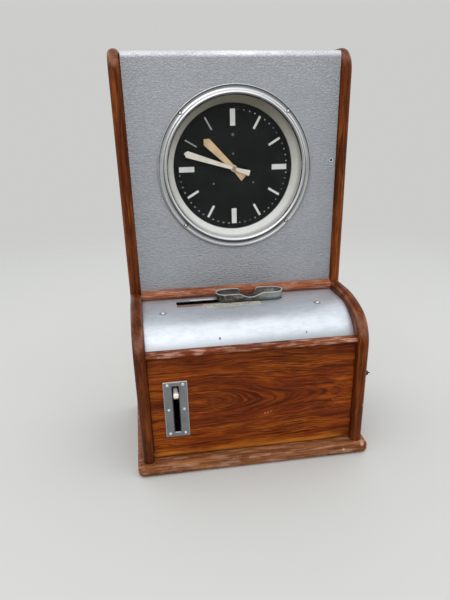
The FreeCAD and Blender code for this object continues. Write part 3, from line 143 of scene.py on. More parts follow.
class Paint(Graph):
    # the material of one finish, with the helpers that every finish uses
    def __init__(self, name, look):
        self.material = bpy.data.materials.new(name)
        self.material.use_nodes = True
        super().__init__(self.material.node_tree)
        self.tree.nodes.clear()
        self.look = look
        self.place = self.add("ShaderNodeTexCoord", out=3)
        parts = self.add("ShaderNodeSeparateXYZ", {0: self.place}).output.node
        self.x, self.y, self.z = [Wire(self, output) for output in parts.outputs]

    def facingUp(self):
        # 1 where the surface looks straight up, -1 where it looks straight down
        surface = self.add("ShaderNodeNewGeometry", out=1)
        return self.add("ShaderNodeSeparateXYZ", {0: surface}, out=2)

    def stretch(self, x, y, z):
        # the place, with each direction times its own number
        return self.point(self.x * x, self.y * y, self.z * z)

    def noise(self, where, scale=1.0, detail=2.0, roughness=0.5, warp=0.0):
        return self.add("ShaderNodeTexNoise", {
            "Vector": where, "Scale": scale, "Detail": detail, "Roughness": roughness, "Distortion": warp})

    def clouds(self, scale, detail=4.0, roughness=0.6):
        return self.noise(self.place, scale, detail, roughness)

    def fade(self, value, low, high):
        # 0 below low, 1 above high, soft in between
        return self.add("ShaderNodeMapRange", {"Value": value, "From Min": low, "From Max": high},
                        interpolation_type="SMOOTHSTEP")

    def lay(self, share, tint, on=None):
        # a colour of the look over what is there, or over another one of the look
        ground = tone(self.look[on]) if on else self.body
        self.body = self.add("ShaderNodeMix", {0: share, 6: ground, 7: tone(self.look.get(tint, tint))},
                             out=2, data_type="RGBA")

    def measureAway(self, first, second):
        return (first * first + second * second) ** 0.5

    def fromDial(self):
        return self.measureAway(self.x, self.z - dialZ)

    def spot(self, x, z, radius, soft=0.4):
        # 1 inside a round mark, as seen from the front
        away = self.measureAway(self.x - x, self.z - z)
        return 1 - self.fade(away, radius * (1 - soft), radius * (1 + soft))

    def bump(self, height, depth, strength):
        return self.add("ShaderNodeBump", {"Strength": strength, "Distance": depth, "Height": height})

    def finish(self, **sockets):
        values = {key.replace("_", " "): value for key, value in sockets.items()}
        shader = self.add("ShaderNodeBsdfPrincipled", {"Base Color": self.body, **values})
        end = self.tree.nodes.new("ShaderNodeOutputMaterial")
        self.tree.links.new(shader.output, end.inputs[0])
        return self.material


# wood

def oak(name, look):
    # stained oak: growth rings cut lengthwise, dark late wood, open pores, worn varnish
    paint = Paint(name, look)
    byName = {"x": paint.x, "y": paint.y, "z": paint.z}
    along, across, deep = [byName[letter] for letter in look["grain"]]
    stretch = paint.point(along * look["slowAlong"], across * look["slowAcross"], deep * look["slowAcross"])
    slow = paint.noise(stretch) - 0.5
    level = across + slow * look["swirl"]
    if "figure" in look:
        # nested arches that point along the board and run out into straight grain
        middle, start, end, width = look["figure"]
        level = paint.measureAway(level - middle, paint.fade(along + slow * 0.12, start, end) * width)

    def cloud(alongScale, acrossScale, detail=2.0, roughness=0.5):
        where = paint.point(along * alongScale, level * acrossScale, deep * acrossScale)
        return paint.noise(where, detail=detail, roughness=roughness)

    rings = (level + deep * 0.4) * look["ringsPerMetre"] + (cloud(9, 60, 3.0, 0.6) - 0.5) * look["waver"]
    turn = paint.calc("FRACT", rings)
    late = paint.fade(turn, 0.15, 0.75) * (1 - paint.fade(turn, 0.84, 1.0))
    streaks = cloud(8, 290, 5.0, 0.68)
    dashes = paint.fade(cloud(26, 480, 4.0, 0.62), 0.53, 0.66)
    pores = paint.fade(cloud(60, 1400, 2.0), 0.56, 0.7)
    patches = cloud(7, 34, 3.0, 0.6)
    paint.lay(paint.fade(patches, 0.42, 0.64), "bright", on="mid")
    paint.lay(paint.fade(streaks, 0.42, 0.62) * 0.65, "dark")
    strength = paint.fade(cloud(8, 40, 3.0), 0.36, 0.62)
    paint.lay(late * (strength * look["lines"] + look["lines"] * 0.3), "dark")
    paint.lay(dashes * 0.55, "dark")
    paint.lay(pores * 0.5, "pore")
    if "slot" in look:
        middle, half, foot, top = look["slot"]
        cut = (abs(paint.x - middle) < half) * (paint.z > foot) * (paint.z < top)
        paint.lay(cut, "hollow")
    if "shade" in look:
        letter, clear, dim, share = look["shade"]
        low = (1 - paint.fade(paint.z, 0.24, 0.3)) * share
        paint.lay(paint.fade(byName[letter], clear, dim) * low, "dark")
    # a lighter orange band along the foot, with a ragged top
    if "foot" in look:
        frayed = paint.z + slow * 0.03 + (streaks - 0.5) * 0.02
        frayed = (1 - paint.fade(frayed, *look["foot"])) * paint.fade(patches, 0.3, 0.55)
        paint.lay(frayed * 0.65, "wornFoot")
    # painted highlight, with some wear, on the rounded shoulders that look partly up
    if "shoulderHighlight" in look:
        lean = paint.facingUp()
        rubbed = paint.fade(lean, 0.15, 0.5) * (1 - paint.fade(lean, 0.6, 0.85)) * paint.fade(patches, 0.3, 0.6)
        paint.lay(rubbed * 0.36, "shoulderHighlight")
    worn = paint.fade(cloud(26, 150, 5.0, 0.68), look["wornFrom"], look["wornFrom"] + 0.2)
    paint.lay(worn * look["wornShare"], "wornTone")
    for x, z, radius, mark in look.get("marks", ()):
        paint.lay(paint.spot(x, z, radius, soft=0.5) * 0.7, mark)
    height = late * 0.3 - pores + worn * 0.3 + streaks * 0.5 - dashes * 0.5
    gloss = look["roughness"] + pores * 0.2 + worn * 0.2 + (streaks - 0.5) * 0.3
    return paint.finish(
        Roughness=gloss, Specular_IOR_Level=look["sheen"], Coat_Weight=look["varnish"], Coat_Roughness=0.22,
        Normal=paint.bump(height, 0.0003, look.get("relief", 0.6)))


caseWood = {
    "mid": (128, 52, 10), "bright": (178, 88, 20), "dark": (52, 16, 2), "pore": (34, 11, 1),
    "ringsPerMetre": 300, "swirl": 0.026, "waver": 3.4, "lines": 0.5, "slowAlong": 3.0, "slowAcross": 14,
    "wornFrom": 0.64, "wornShare": 0.3, "wornTone": (190, 128, 88),
    "roughness": 0.38, "varnish": 0.02, "sheen": 0.09}
panelWood = {
    **caseWood, "grain": "xzy", "figure": (0.119, -0.15, 0.12, 0.03), "waver": 5.5, "swirl": 0.034,
    "slowAlong": 4.5, "slowAcross": 20, "slot": (-0.129, 0.0078, 0.068, 0.1591), "hollow": (12, 9, 7),
    "foot": (0.03, 0.042), "wornFoot": (214, 130, 48), "shade": ("z", 0.165, 0.2, 0.3),
    "marks": [(x, z, radius, (196, 150, 118)) for x, z, radius in (
        (0.0185, 0.0885, 0.0012), (0.0235, 0.0895, 0.0010), (0.0287, 0.0913, 0.0009), (0.1365, 0.101, 0.0008))]}
boardWood = {
    **caseWood, "grain": "zyx", "mid": (108, 48, 12), "bright": (146, 74, 24), "dark": (46, 16, 3),
    "swirl": 0.012, "roughness": 0.32, "sheen": 0.12, "varnish": 0.0, "shade": ("x", 0.1, -0.1, 0.3),
    "shoulderHighlight": (184, 134, 112), "marks": [(0.1862, 0.0925, 0.0015, (188, 150, 122))]}
plinthWood = {
    **caseWood, "grain": "xyz", "mid": (140, 84, 48), "bright": (164, 106, 66), "dark": (84, 42, 20),
    "swirl": 0.008, "wornFrom": 0.46, "wornShare": 0.55, "wornTone": (190, 148, 120),
    "roughness": 0.5, "varnish": 0.0,
    "marks": [(0.1538, 0.0125, 0.0022, (222, 196, 164)), (0.188, 0.0185, 0.003, (206, 168, 138))]}
railWood = {
    **caseWood, "grain": "xzy", "mid": (166, 94, 60), "bright": (200, 126, 88), "dark": (96, 40, 16),
    "swirl": 0.006, "wornFrom": 0.47, "wornShare": 0.55, "wornTone": (212, 168, 150),
    "roughness": 0.4, "varnish": 0.05, "relief": 1.2, "shade": ("z", 0.2635, 0.256, 0.6)}
nosingWood = {
    **railWood, "mid": (126, 54, 18), "bright": (158, 80, 34), "dark": (70, 24, 5),
    "wornShare": 0.8, "wornTone": (214, 168, 146), "shade": ("z", 0.206, 0.199, 0.4)}


def rawWood(look):
    # unstained plywood and battens inside the case
    paint = Paint("rawWood", look)
    streaks = paint.noise(paint.stretch(420, 260, 9), detail=4.0, roughness=0.6)
    clouds = paint.clouds(9, 3.0, 0.5)
    paint.lay(paint.fade(streaks, 0.35, 0.7), "line", on="light")
    paint.lay(paint.fade(clouds, 0.45, 0.75) * 0.4, "stain")
    paint.lay(paint.spot(*look["bore"], soft=0.3), "hollow")
    # the back board's countersunk screws show as flush steel discs in two rows
    row = abs(abs(paint.x) - look["screwX"])
    step = (paint.calc("FRACT", (paint.z - look["screwLow"]) / look["screwPitch"]) - 0.5) * look["screwPitch"]
    away = paint.measureAway(row, step)
    behind = (paint.y > look["screwY"]) * (paint.z > look["screwLow"])
    disc = (away < look["screwRadius"]) * behind
    paint.lay((away < look["screwRadius"] * 1.15) * behind, "line")
    paint.lay(disc, "screw")
    paint.lay(disc * (abs(row + step * 0.7) < 0.0005), "slit")
    return paint.finish(Roughness=0.72 - disc * 0.35, Metallic=disc * 0.9, Normal=paint.bump(streaks, 0.0003, 0.5))


# painted and plain metals

def hammerFinish(look):
    # silver paint that dried in small flat curls, a little wider than they are tall
    paint = Paint("hammerFinish", look)
    where = paint.stretch(look["across"], look["up"], look["up"])
    curls = paint.noise(where, detail=3.0, roughness=0.55, warp=0.6)
    finer = paint.noise(paint.stretch(700, 1300, 1300), detail=2.0)
    clouds = paint.noise(paint.stretch(9, 15, 15), detail=6.0, roughness=0.7)
    paint.lay(paint.fade(curls * 0.6 + finer * 0.4, 0.36, 0.64), "high", on="low")
    paint.lay(paint.fade(clouds, 0.42, 0.62) * 0.35, "low")
    paint.lay(paint.fade(abs(paint.x), 0.12, 0.2) * 0.3, "aside")
    # painted shadow on the panel just outside the lower half of the bezel
    span = paint.fromDial()
    bezelShadow = 1 - paint.fade(span, look["ringRadius"], look["ringRadius"] + 0.003)
    bezelShadow = bezelShadow * (1 - paint.fade(paint.z, dialZ - 0.08, dialZ + 0.04))
    paint.lay(bezelShadow * 0.6, "grime")
    # round the setting hole: a pale ring, and painted shade that makes the hole look wider and black
    front = paint.y < look["frontY"]
    away = paint.measureAway(paint.x - look["hole"][0], paint.z - look["hole"][1])
    paint.lay((1 - paint.fade(away, 0.0029, 0.0035)) * front * 0.7, "worn")
    paint.lay((1 - paint.fade(away, 0.0019, 0.0024)) * front, "hollow")
    # painted highlight along the top bend, patchy
    bendHighlight = paint.fade(paint.z, look["bendZ"] - 0.001, look["bendZ"] + 0.005)
    paint.lay(bendHighlight * (paint.fade(clouds, 0.35, 0.6) * 0.4 + 0.5), "worn")
    gloss = look["roughness"] + (curls - 0.5) * 0.2 - bendHighlight * 0.12
    return paint.finish(
        Metallic=look["metallic"], Roughness=gloss, Normal=paint.bump(curls + finer * 0.15, look["depth"], 0.9))


def sheetFinish(look):
    # dull rolled sheet: cloudy patches, scratches, pits, rings round the screws, painted shade at the foot, a
    # painted highlight behind the slot
    paint = Paint("sheetFinish", look)
    clouds = paint.noise(paint.stretch(40, 90, 90), detail=6.0, roughness=0.7)
    grainy = paint.noise(paint.stretch(300, 800, 800), detail=3.0, roughness=0.6)
    scratch = paint.noise(paint.point(paint.x * 90 + paint.y * 35, paint.y * 1400, paint.z * 1400), detail=1.0)
    scratch = paint.fade(scratch, 0.68, 0.76)
    paint.lay(paint.fade(clouds, 0.4, 0.62) * 0.6, "dull", on="clear")
    paint.lay(paint.fade(grainy, 0.5, 0.8) * 0.3, "dull")
    paint.lay(scratch * 0.3, "scratch")
    # darker towards the foot of the curve: painted shade
    foot = 1 - paint.fade(paint.z, look["footZ"], look["footZ"] + 0.021)
    paint.lay(foot, "foot")
    dirt = paint.fade(paint.noise(paint.stretch(90, 120, 120), detail=6.0, roughness=0.7), 0.66, 0.78)
    paint.lay(dirt * 0.2, "dirt")
    pits = 0.0
    for x, z, radius in look["pits"]:
        pits = paint.spot(x, z, radius) * (paint.y < -0.05) + pits
    for x, y, radius in look["washers"]:
        away = paint.measureAway(paint.x - x, paint.y - y)
        pits = pits + (1 - paint.fade(abs(away - radius), 0.0003, 0.0011)) * (paint.z > 0.235) * 0.8
    paint.lay(pits, "pit")

    def within(left, right, front, back):
        return (paint.x > left) * (paint.x < right) * (paint.y > front) * (paint.y < back)

    lip, glint = within(*look["lip"]), within(*look["glint"])
    paint.lay(lip * paint.fade(clouds, 0.2, 0.4) * 0.9, "stain")
    # painted highlight along the slot's rear edge, in the scratch colour
    paint.lay(glint, "scratch")
    top = paint.fade(paint.z, look["topZ"] - 0.012, look["topZ"])
    gloss = look["roughness"] + (clouds - 0.5) * 0.1 + dirt * 0.12 + top * 0.1
    height = grainy * 0.5 + clouds * 0.1 - pits - scratch * 0.4
    return paint.finish(
        Metallic=look["metallic"] - top * 0.12 - lip * 0.7 - glint * 0.75, Roughness=gloss,
        Normal=paint.bump(height, 0.00018, 0.6))


def turnedFinish(look):
    # satin metal turned on a lathe: painted shade on the faces that look down and a painted highlight on those that
    # look up, dark lines of dirt and painted shade in the corners and round the screws
    paint = Paint("turnedFinish", look)
    span = paint.fromDial()
    lines = paint.noise(paint.point(span * 2400, 0.0, 0.0), detail=2.0)
    lines = lines * paint.fade(span, look["beadEdge"], look["beadEdge"] + 0.0008)
    clouds = paint.clouds(38)
    # painted highlight where the metal looks up, painted shade where it looks down
    shadeToHighlight = paint.fade(paint.facingUp() + (clouds - 0.5) * 0.2, look["grimeBelow"], look["clearAbove"])
    paint.lay(shadeToHighlight, "clear", on="grime")
    paint.lay(paint.fade(lines, 0.35, 0.7) * 0.4, "line")
    # dark lines at the rim's foot and round the screw heads: dirt and painted shade
    dirtAndShadeLines = 1 - paint.fade(abs(span - look["rimFoot"]), 0.0002, 0.0008)
    screws = 0.0
    for right, up in ((-1, -1), (-1, 1), (1, -1), (1, 1)):
        x, z = right * look["screwAt"], dialZ + up * look["screwAt"]
        screws = paint.spot(x, z, look["screwHollow"], soft=0.15) + screws
    dirtAndShadeLines = dirtAndShadeLines + screws * (span > look["beadEdge"]) * (span < look["rimFoot"])
    paint.lay(dirtAndShadeLines * 0.8, "dirt")
    dust = paint.fade(paint.facingUp(), 0.55, 0.95)
    return paint.finish(
        Metallic=look["metallic"] - dust * 0.6,
        Roughness=look["roughness"] + (clouds - 0.5) * 0.2 + dirtAndShadeLines * 0.3 + dust * 0.3,
        Normal=paint.bump(lines + clouds * 0.3, 0.00005, 0.5))


def plainMetal(name, row):
    # worked metal, finely grained and blotched, for the parts of the works too
    look = dict(zip(("light", "deep", "stain", "roughness", "metallic"), row))
    paint = Paint(name, look)
    lines = paint.noise(paint.stretch(500, 500, 500), detail=3.0)
    clouds = paint.clouds(60)
    paint.lay(paint.fade(lines, 0.35, 0.7) * 0.6, "deep", on="light")
    paint.lay(paint.fade(clouds, 0.5, 0.74) * 0.4, "stain")
    return paint.finish(
        Metallic=look["metallic"], Roughness=look["roughness"] + (clouds - 0.5) * 0.25,
        Normal=paint.bump(lines + clouds * 0.6, 0.0001, 0.5))


def plateFinish(look):
    # drawn steel plate: painted highlights along its edges and under the slot, painted black shade along the slot's
    # sides
    paint = Paint("plateFinish", look)
    lines = paint.noise(paint.stretch(2600, 300, 60), detail=3.0)
    clouds = paint.clouds(60)
    aside = abs(paint.x - look["x"])
    paint.lay(paint.fade(lines, 0.35, 0.7) * 0.6, "deep", on="light")
    paint.lay(paint.fade(clouds, 0.5, 0.74) * 0.3, "stain")
    # painted highlight along the sides and the top edge, and under the slot
    rim = paint.fade(aside, look["side"] - 0.0014, look["side"] - 0.0006) * 0.4
    rim = rim + paint.fade(paint.z, look["top"] - 0.0018, look["top"] - 0.001)
    foot = paint.z - look["slot"][0]
    rim = rim + (aside < look["halfSlot"]) * (foot > -0.002) * (foot < 0) * 0.9
    paint.lay(rim, "rubbed")
    # painted black shade beside the slot, which makes it look wider
    grime = 1 - paint.fade(aside, look["halfSlot"] + 0.0012, look["halfSlot"] + 0.0017)
    grime = grime * (foot > 0) * (paint.z < look["slot"][1])
    paint.lay(grime, "grime")
    return paint.finish(
        Metallic=0.8 - grime * 0.7, Roughness=0.44 + (clouds - 0.5) * 0.25,
        Normal=paint.bump(lines + clouds * 0.6, 0.0001, 0.5))


def tipFinish(look):
    # plated finger tip, worn through to the brass along its lower edge
    paint = Paint("tipFinish", look)
    clouds = paint.clouds(300)
    worn = 1 - paint.fade(paint.z + (clouds - 0.5) * 0.002, look["wornZ"], look["wornZ"] + 0.001)
    paint.lay(paint.fade(clouds, 0.4, 0.7) * 0.5, "deep", on="light")
    paint.lay(worn, "brass")
    return paint.finish(
        Metallic=0.6 + worn * 0.3, Roughness=0.24 + clouds * 0.1, Normal=paint.bump(clouds, 0.00003, 0.4))


def plainPaint(name, row):
    # matt paint or moulding with a little dust and unevenness
    look = dict(zip(("light", "deep", "speck", "roughness", "sheen", "specks", "specksFrom"), row))
    paint = Paint(name, look)
    clouds = paint.clouds(50)
    specks = paint.clouds(look.get("specks", 900), 2.0, 0.5)
    paint.lay(paint.fade(clouds, 0.4, 0.72) * 0.7, "deep", on="light")
    paint.lay(paint.fade(specks, look.get("specksFrom", 0.7), 0.8) * 0.6, "speck")
    return paint.finish(
        Roughness=look["roughness"] + (clouds - 0.5) * 0.15, Specular_IOR_Level=look.get("sheen", 0.4),
        Normal=paint.bump(specks + clouds, 0.00005, 0.4))


def dotFinish(look):
    # small white dots, gone grey here and there and nearly worn away in one quarter
    paint = Paint("dotFinish", look)
    clouds = paint.clouds(24, 3.0, 0.6)
    paint.lay(paint.fade(clouds, 0.46, 0.62) * 0.8, "faded", on="white")
    worn = paint.fade(-1 * paint.x, -0.04, 0.0) * paint.fade(paint.z, dialZ, dialZ + 0.01)
    paint.lay(worn, "gone")
    return paint.finish(Roughness=0.5 + clouds * 0.1, Normal=paint.bump(clouds, 0.00005, 0.3))


def barFinish(look):
    # off-white paint on the bars; two of them have lost their sides
    paint = Paint("barFinish", look)
    clouds = paint.clouds(60)
    paint.lay(paint.fade(clouds, 0.4, 0.72) * 0.5, "grey", on="white")
    up = paint.z - dialZ
    for angle, share in look["wornBars"]:
        along = paint.x * math.cos(angle) + up * math.sin(angle)
        aside = abs(paint.x * math.sin(angle) - up * math.cos(angle))
        here = (along > 0) * (aside < 0.004)
        paint.lay(here * share, "gone")
        paint.lay(here * paint.fade(aside + (clouds - 0.5) * 0.001, 0.0007, 0.0011), "gone")
    return paint.finish(Roughness=0.55 + (clouds - 0.5) * 0.15, Normal=paint.bump(clouds, 0.00005, 0.4))


def castFinish(look):
    # sand-cast grey metal: dull bowl, dark foot, a rim that hands have rubbed bright, with a painted highlight where
    # it looks up
    paint = Paint("castFinish", look)
    grit = paint.clouds(900, 3.0, 0.65)
    clouds = paint.clouds(120, 5.0, 0.65)
    beyond = abs(paint.x - look["x"]) - look["reach"]
    beyond = (abs(beyond) + beyond) * 0.5
    away = paint.measureAway(beyond, paint.y - look["y"])
    inside = 1 - paint.fade(away, look["rubFrom"], look["rubFrom"] + 0.002)
    rubAndHighlight = paint.fade(away + (clouds - 0.5) * 0.002, look["rubFrom"], look["rubFrom"] + 0.0012)
    # the rubbed rim is lighter only where it looks up: wear and a painted highlight
    rubAndHighlight = rubAndHighlight * paint.fade(paint.facingUp(), 0.1, 0.6) * (paint.z > look["footZ"])
    paint.lay(paint.fade(clouds, 0.38, 0.62), "light", on="deep")
    paint.lay(paint.fade(paint.x, 0.0, 0.08) * 0.8, "bright")
    paint.lay((1 - paint.fade(paint.z, look["footZ"], look["footZ"] + 0.006)) * 0.6, "deep")
    paint.lay(inside * paint.fade(clouds, 0.2, 0.6), "bowl")
    paint.lay(rubAndHighlight * 0.85, "rubbed")
    return paint.finish(
        Metallic=0.8 - rubAndHighlight * 0.35 - inside * 0.3, Roughness=0.5 + (grit - 0.5) * 0.2 - rubAndHighlight * 0.16,
        Normal=paint.bump(grit + clouds * 1.5, 0.00022, 0.6))


def dialFinish(look):
    # matt black enamel with dust and a few rubbed places about the middle
    paint = Paint("dialFinish", look)
    dust = paint.fade(paint.clouds(620, 2.0, 0.5), 0.68, 0.8)
    haze = paint.clouds(22, 5.0, 0.65)
    paint.lay(paint.fade(haze, 0.38, 0.75) * 0.8, "haze", on="black")
    paint.lay(dust * 0.4, "dust")
    paint.lay((1 - paint.fade(paint.fromDial(), 0.006, 0.03)) * paint.fade(haze, 0.4, 0.7) * 0.35, "rubbed")
    paint.lay(paint.spot(*look["plug"], soft=0.3) * 0.9, "plugTone")
    return paint.finish(
        Roughness=0.6 + (haze - 0.5) * 0.3, Specular_IOR_Level=0.12, Normal=paint.bump(haze, 0.00005, 0.3))


def revealFinish(look):
    # cream-grey cone with painted light: brightest low down, painted shade where it hangs over, at its outer edge
    # and in the gap at the dial
    paint = Paint("revealFinish", look)
    span = paint.fromDial()
    clouds = paint.clouds(30)
    height = paint.z - dialZ + (clouds - 0.5) * 0.02
    # painted light: brightest low down, painted shade towards the top
    paint.lay(paint.fade(height, -0.095, 0.01), "light", on="litBelow")
    paint.lay(paint.fade(height, 0.0, 0.11), "shaded")
    paint.lay(paint.fade(clouds, 0.4, 0.75) * 0.25, "deep")
    # painted shade at the outer edge and in the gap at the dial
    paint.lay(paint.fade(span, 0.1065, 0.1115) * 0.6, "edgeShade")
    paint.lay((1 - paint.fade(span, 0.1, 0.1012)) * 0.8, "gap")
    return paint.finish(Roughness=0.55, Normal=paint.bump(clouds, 0.00008, 0.3))


def windingFinish(look):
    paint = Paint("windingFinish", look)
    turns = paint.calc("SINE", paint.z * look["turnsPerMetre"] * math.tau)
    clouds = paint.clouds(90, 3.0, 0.5)
    paint.lay(paint.fade(clouds, 0.4, 0.7), "deep", on="light")
    return paint.finish(Roughness=0.32, Coat_Weight=0.4, Metallic=0.35, Normal=paint.bump(turns, 0.00012, 0.6))


def clearGlass(look):
    paint = Paint("clearGlass", look)
    paint.body = look["tint"]
    smear = paint.fade(paint.clouds(14, 5.0, 0.7), 0.55, 0.8)
    return paint.finish(Roughness=0.04 + smear * 0.1, Alpha=0.03 + smear * 0.02, Specular_IOR_Level=0.6)


metals = {  # light, deep and stained colour, roughness, share of metal
    "wornBrass": ((206, 174, 108), (176, 142, 82), (120, 92, 54), 0.34, 1.0),
    "platedSteel": ((178, 180, 182), (142, 144, 146), (104, 98, 92), 0.38, 1.0),
    "screwSteel": ((244, 244, 244), (220, 220, 220), (160, 154, 146), 0.2, 1.0),
    "dulledScrew": ((170, 166, 140), (130, 126, 102), (90, 82, 64), 0.45, 0.6),
    "polishedNut": ((224, 212, 204), (180, 164, 156), (110, 88, 80), 0.24, 1.0),
    "wornLever": ((226, 210, 200), (196, 174, 162), (128, 96, 74), 0.4, 0.55),
    "darkIron": ((66, 60, 56), (44, 40, 38), (88, 56, 38), 0.55, 0.7)}
paints = {  # light and deep colour, specks, roughness, then sheen, size and spread of the specks
    "minutePaint": ((230, 225, 210), (210, 200, 180), (150, 130, 100), 0.5),
    "hourPaint": ((222, 194, 154), (196, 164, 120), (140, 110, 80), 0.5),
    "bushRubber": ((34, 34, 34), (24, 24, 24), (80, 78, 74), 0.7),
    "darkMoulding": ((54, 42, 38), (38, 30, 28), (90, 80, 70), 0.42),
    "inkedRibbon": ((40, 32, 66), (24, 20, 40), (58, 48, 88), 0.8, 0.4, 2600, 0.5),
    "spoolLacquer": ((70, 70, 72), (48, 48, 50), (130, 128, 120), 0.34, 0.6)}
settingHole = (0.163, 0.4758)  # x and z
finishes = {
    "panelOak": oak("panelOak", panelWood), "boardOak": oak("boardOak", boardWood),
    "plinthOak": oak("plinthOak", plinthWood), "railOak": oak("railOak", railWood),
    "nosingOak": oak("nosingOak", nosingWood),
    "rawWood": rawWood({
        "light": (196, 160, 112), "line": (164, 122, 78), "stain": (140, 102, 66), "hollow": (16, 14, 12),
        "screw": (150, 150, 146), "slit": (30, 28, 26), "bore": (*settingHole, 0.0028), "screwX": 0.163,
        "screwY": 0.1246, "screwLow": 0.026, "screwPitch": 0.1212, "screwRadius": 0.0036}),
    "hammer": hammerFinish({
        "low": (155, 158, 163), "high": (173, 176, 181), "aside": (112, 116, 122), "worn": (244, 247, 252),
        "grime": (60, 62, 66), "hollow": (14, 14, 15), "roughness": 0.38, "metallic": 0.55, "across": 220,
        "up": 430, "depth": 0.0024, "hole": settingHole, "frontY": 0.06, "bendZ": 0.6285, "ringRadius": 0.1268}),
    "cover": sheetFinish({
        "dull": (202, 207, 214), "clear": (220, 225, 232), "dirt": (112, 104, 96), "scratch": (236, 238, 240),
        "foot": (160, 164, 170), "pit": (104, 106, 110), "stain": (116, 84, 66), "roughness": 0.38,
        "metallic": 0.9, "topZ": 0.2528, "footZ": 0.2095, "lip": (-0.1125, -0.0425, -0.0072, 0.006),
        "glint": (-0.088, -0.046, 0.0236, 0.0285), "pits": ((-0.0518, 0.2231, 0.0017), (0.0909, 0.2225, 0.0013)),
        "washers": ((-0.1375, -0.03, 0.0052), (0.125, -0.03, 0.0052))}),
    "bezel": turnedFinish({
        "clear": (230, 231, 233), "grime": (124, 125, 128), "line": (128, 130, 134), "dirt": (34, 34, 36),
        "grimeBelow": -0.35, "clearAbove": 0.25, "roughness": 0.24, "metallic": 1.0, "rimFoot": 0.1248,
        "beadEdge": 0.1183, "screwAt": 0.0865, "screwHollow": 0.0034}),
    "glass": clearGlass({"tint": (0.02, 0.022, 0.022, 1.0)}),
    "reveal": revealFinish({
        "litBelow": (247, 247, 243), "light": (226, 225, 218), "deep": (188, 186, 176), "shaded": (130, 126, 108),
        "edgeShade": (128, 124, 112), "gap": (60, 58, 54)}),
    "dial": dialFinish({
        "black": (19, 20, 21), "haze": (34, 37, 37), "dust": (120, 118, 108), "rubbed": (74, 70, 62),
        "plugTone": (120, 108, 84), "plug": (0.0, 0.5185, 0.0023)}),
    "bars": barFinish({
        "white": (228, 228, 224), "grey": (196, 196, 190), "gone": (30, 31, 31),
        "wornBars": ((math.radians(120), 0.25), (math.radians(150), 0.45))}),
    "dots": dotFinish({"white": (250, 250, 244), "faded": (128, 126, 118), "gone": (30, 31, 31)}),
    "cast": castFinish({
        "light": (136, 134, 128), "deep": (58, 54, 49), "rubbed": (214, 213, 208), "bowl": (62, 59, 54),
        "bright": (176, 177, 174), "x": 0.015, "y": 0.014, "reach": 0.0415, "rubFrom": 0.0148, "footZ": 0.2545}),
    "plate": plateFinish({
        "light": (136, 138, 141), "deep": (114, 116, 119), "stain": (98, 95, 92), "rubbed": (226, 224, 222),
        "grime": (10, 10, 11), "x": -0.129, "side": 0.0195, "top": 0.1635, "halfSlot": 0.0045,
        "slot": (0.0713, 0.1558)}),
    "tip": tipFinish({
        "light": (255, 253, 248), "deep": (244, 238, 226), "brass": (150, 112, 76), "wornZ": 0.1439}),
    "winding": windingFinish({"light": (126, 66, 36), "deep": (92, 42, 22), "turnsPerMetre": 1400}),
}
finishes.update({name: plainMetal(name, row) for name, row in metals.items()})
finishes.update({name: plainPaint(name, row) for name, row in paints.items()})
print("finishes made:", len(finishes))

wornBy = {
    "panelOak": "front_panel",
    "boardOak": "side_board_left side_board_right",
    "plinthOak": "base_plinth",
    "railOak": "dial_rail",
    "nosingOak": "cover_nosing",
    "rawWood": "back_panel panel_battens cover_rail",
    "hammer": "dial_panel",
    "cover": "curved_cover",
    "bezel": "bezel_ring",
    "glass": "dial_glass",
    "reveal": "reveal_ring",
    "dial": "dial_plate",
    "bars": "hour_bars",
    "minutePaint": "minute_hand",
    "hourPaint": "hour_hand",
    "polishedNut": "hand_nut",
    "cast": "card_guide",
    "plate": "lever_plate",
    "wornLever": "stamp_lever",
    "tip": "lever_tip",
    "darkIron": "lock_spindle lock_bush",
    "bushRubber": "cable_bush hammer_pad",
    "winding": "dial_magnet type_magnet",
    "darkMoulding": "terminal_block",
    "inkedRibbon": "ink_ribbon",
    "spoolLacquer": "ribbon_spool_left ribbon_spool_right",
    "screwSteel": "bezel_screws cover_screws lever_plate_screws dial_screws",
    "wornBrass": "dial_ratchet motion_wheel hour_wheel movement_front_plate movement_back_plate movement_pillars "
             "carry_wheel minute_type_wheel hour_type_wheel door_pivots",
}
finishOf = {node: finish for finish, members in wornBy.items() for node in members.split()}
for name, node in nodes.items():
    for slot in node.material_slots:
        slot.material = finishes[finishOf.get(name, "platedSteel")]


# small repeated parts, grown by geometry nodes

def newTree(name, **inputs):
    # a tree with named inputs of each kind, and always a finish
    tree = bpy.data.node_groups.new(name, "GeometryNodeTree")
    tree.interface.new_socket("Geometry", in_out="INPUT", socket_type="NodeSocketGeometry")
    for kind, labels in {**inputs, "Material": ("Finish",)}.items():
        for label in labels:
            tree.interface.new_socket(label, in_out="INPUT", socket_type="NodeSocket" + kind)
    tree.interface.new_socket("Geometry", in_out="OUTPUT", socket_type="NodeSocketGeometry")
    graph = Graph(tree)
    start = tree.nodes.new("NodeGroupInput")
    return graph, {s.name: Wire(graph, s) for s in start.outputs if s.name}


def endTree(graph, given, shape):
    real = graph.geo("RealizeInstances", {0: shape})
    coated = graph.geo("SetMaterial", {0: real, "Material": given["Finish"]})
    end = graph.tree.nodes.new("NodeGroupOutput")
    graph.tree.links.new(coated.output, end.inputs[0])
    return graph.tree


def put(name, data):
    thing = bpy.data.objects.new(name, data)
    bpy.context.scene.collection.objects.link(thing)
    return thing


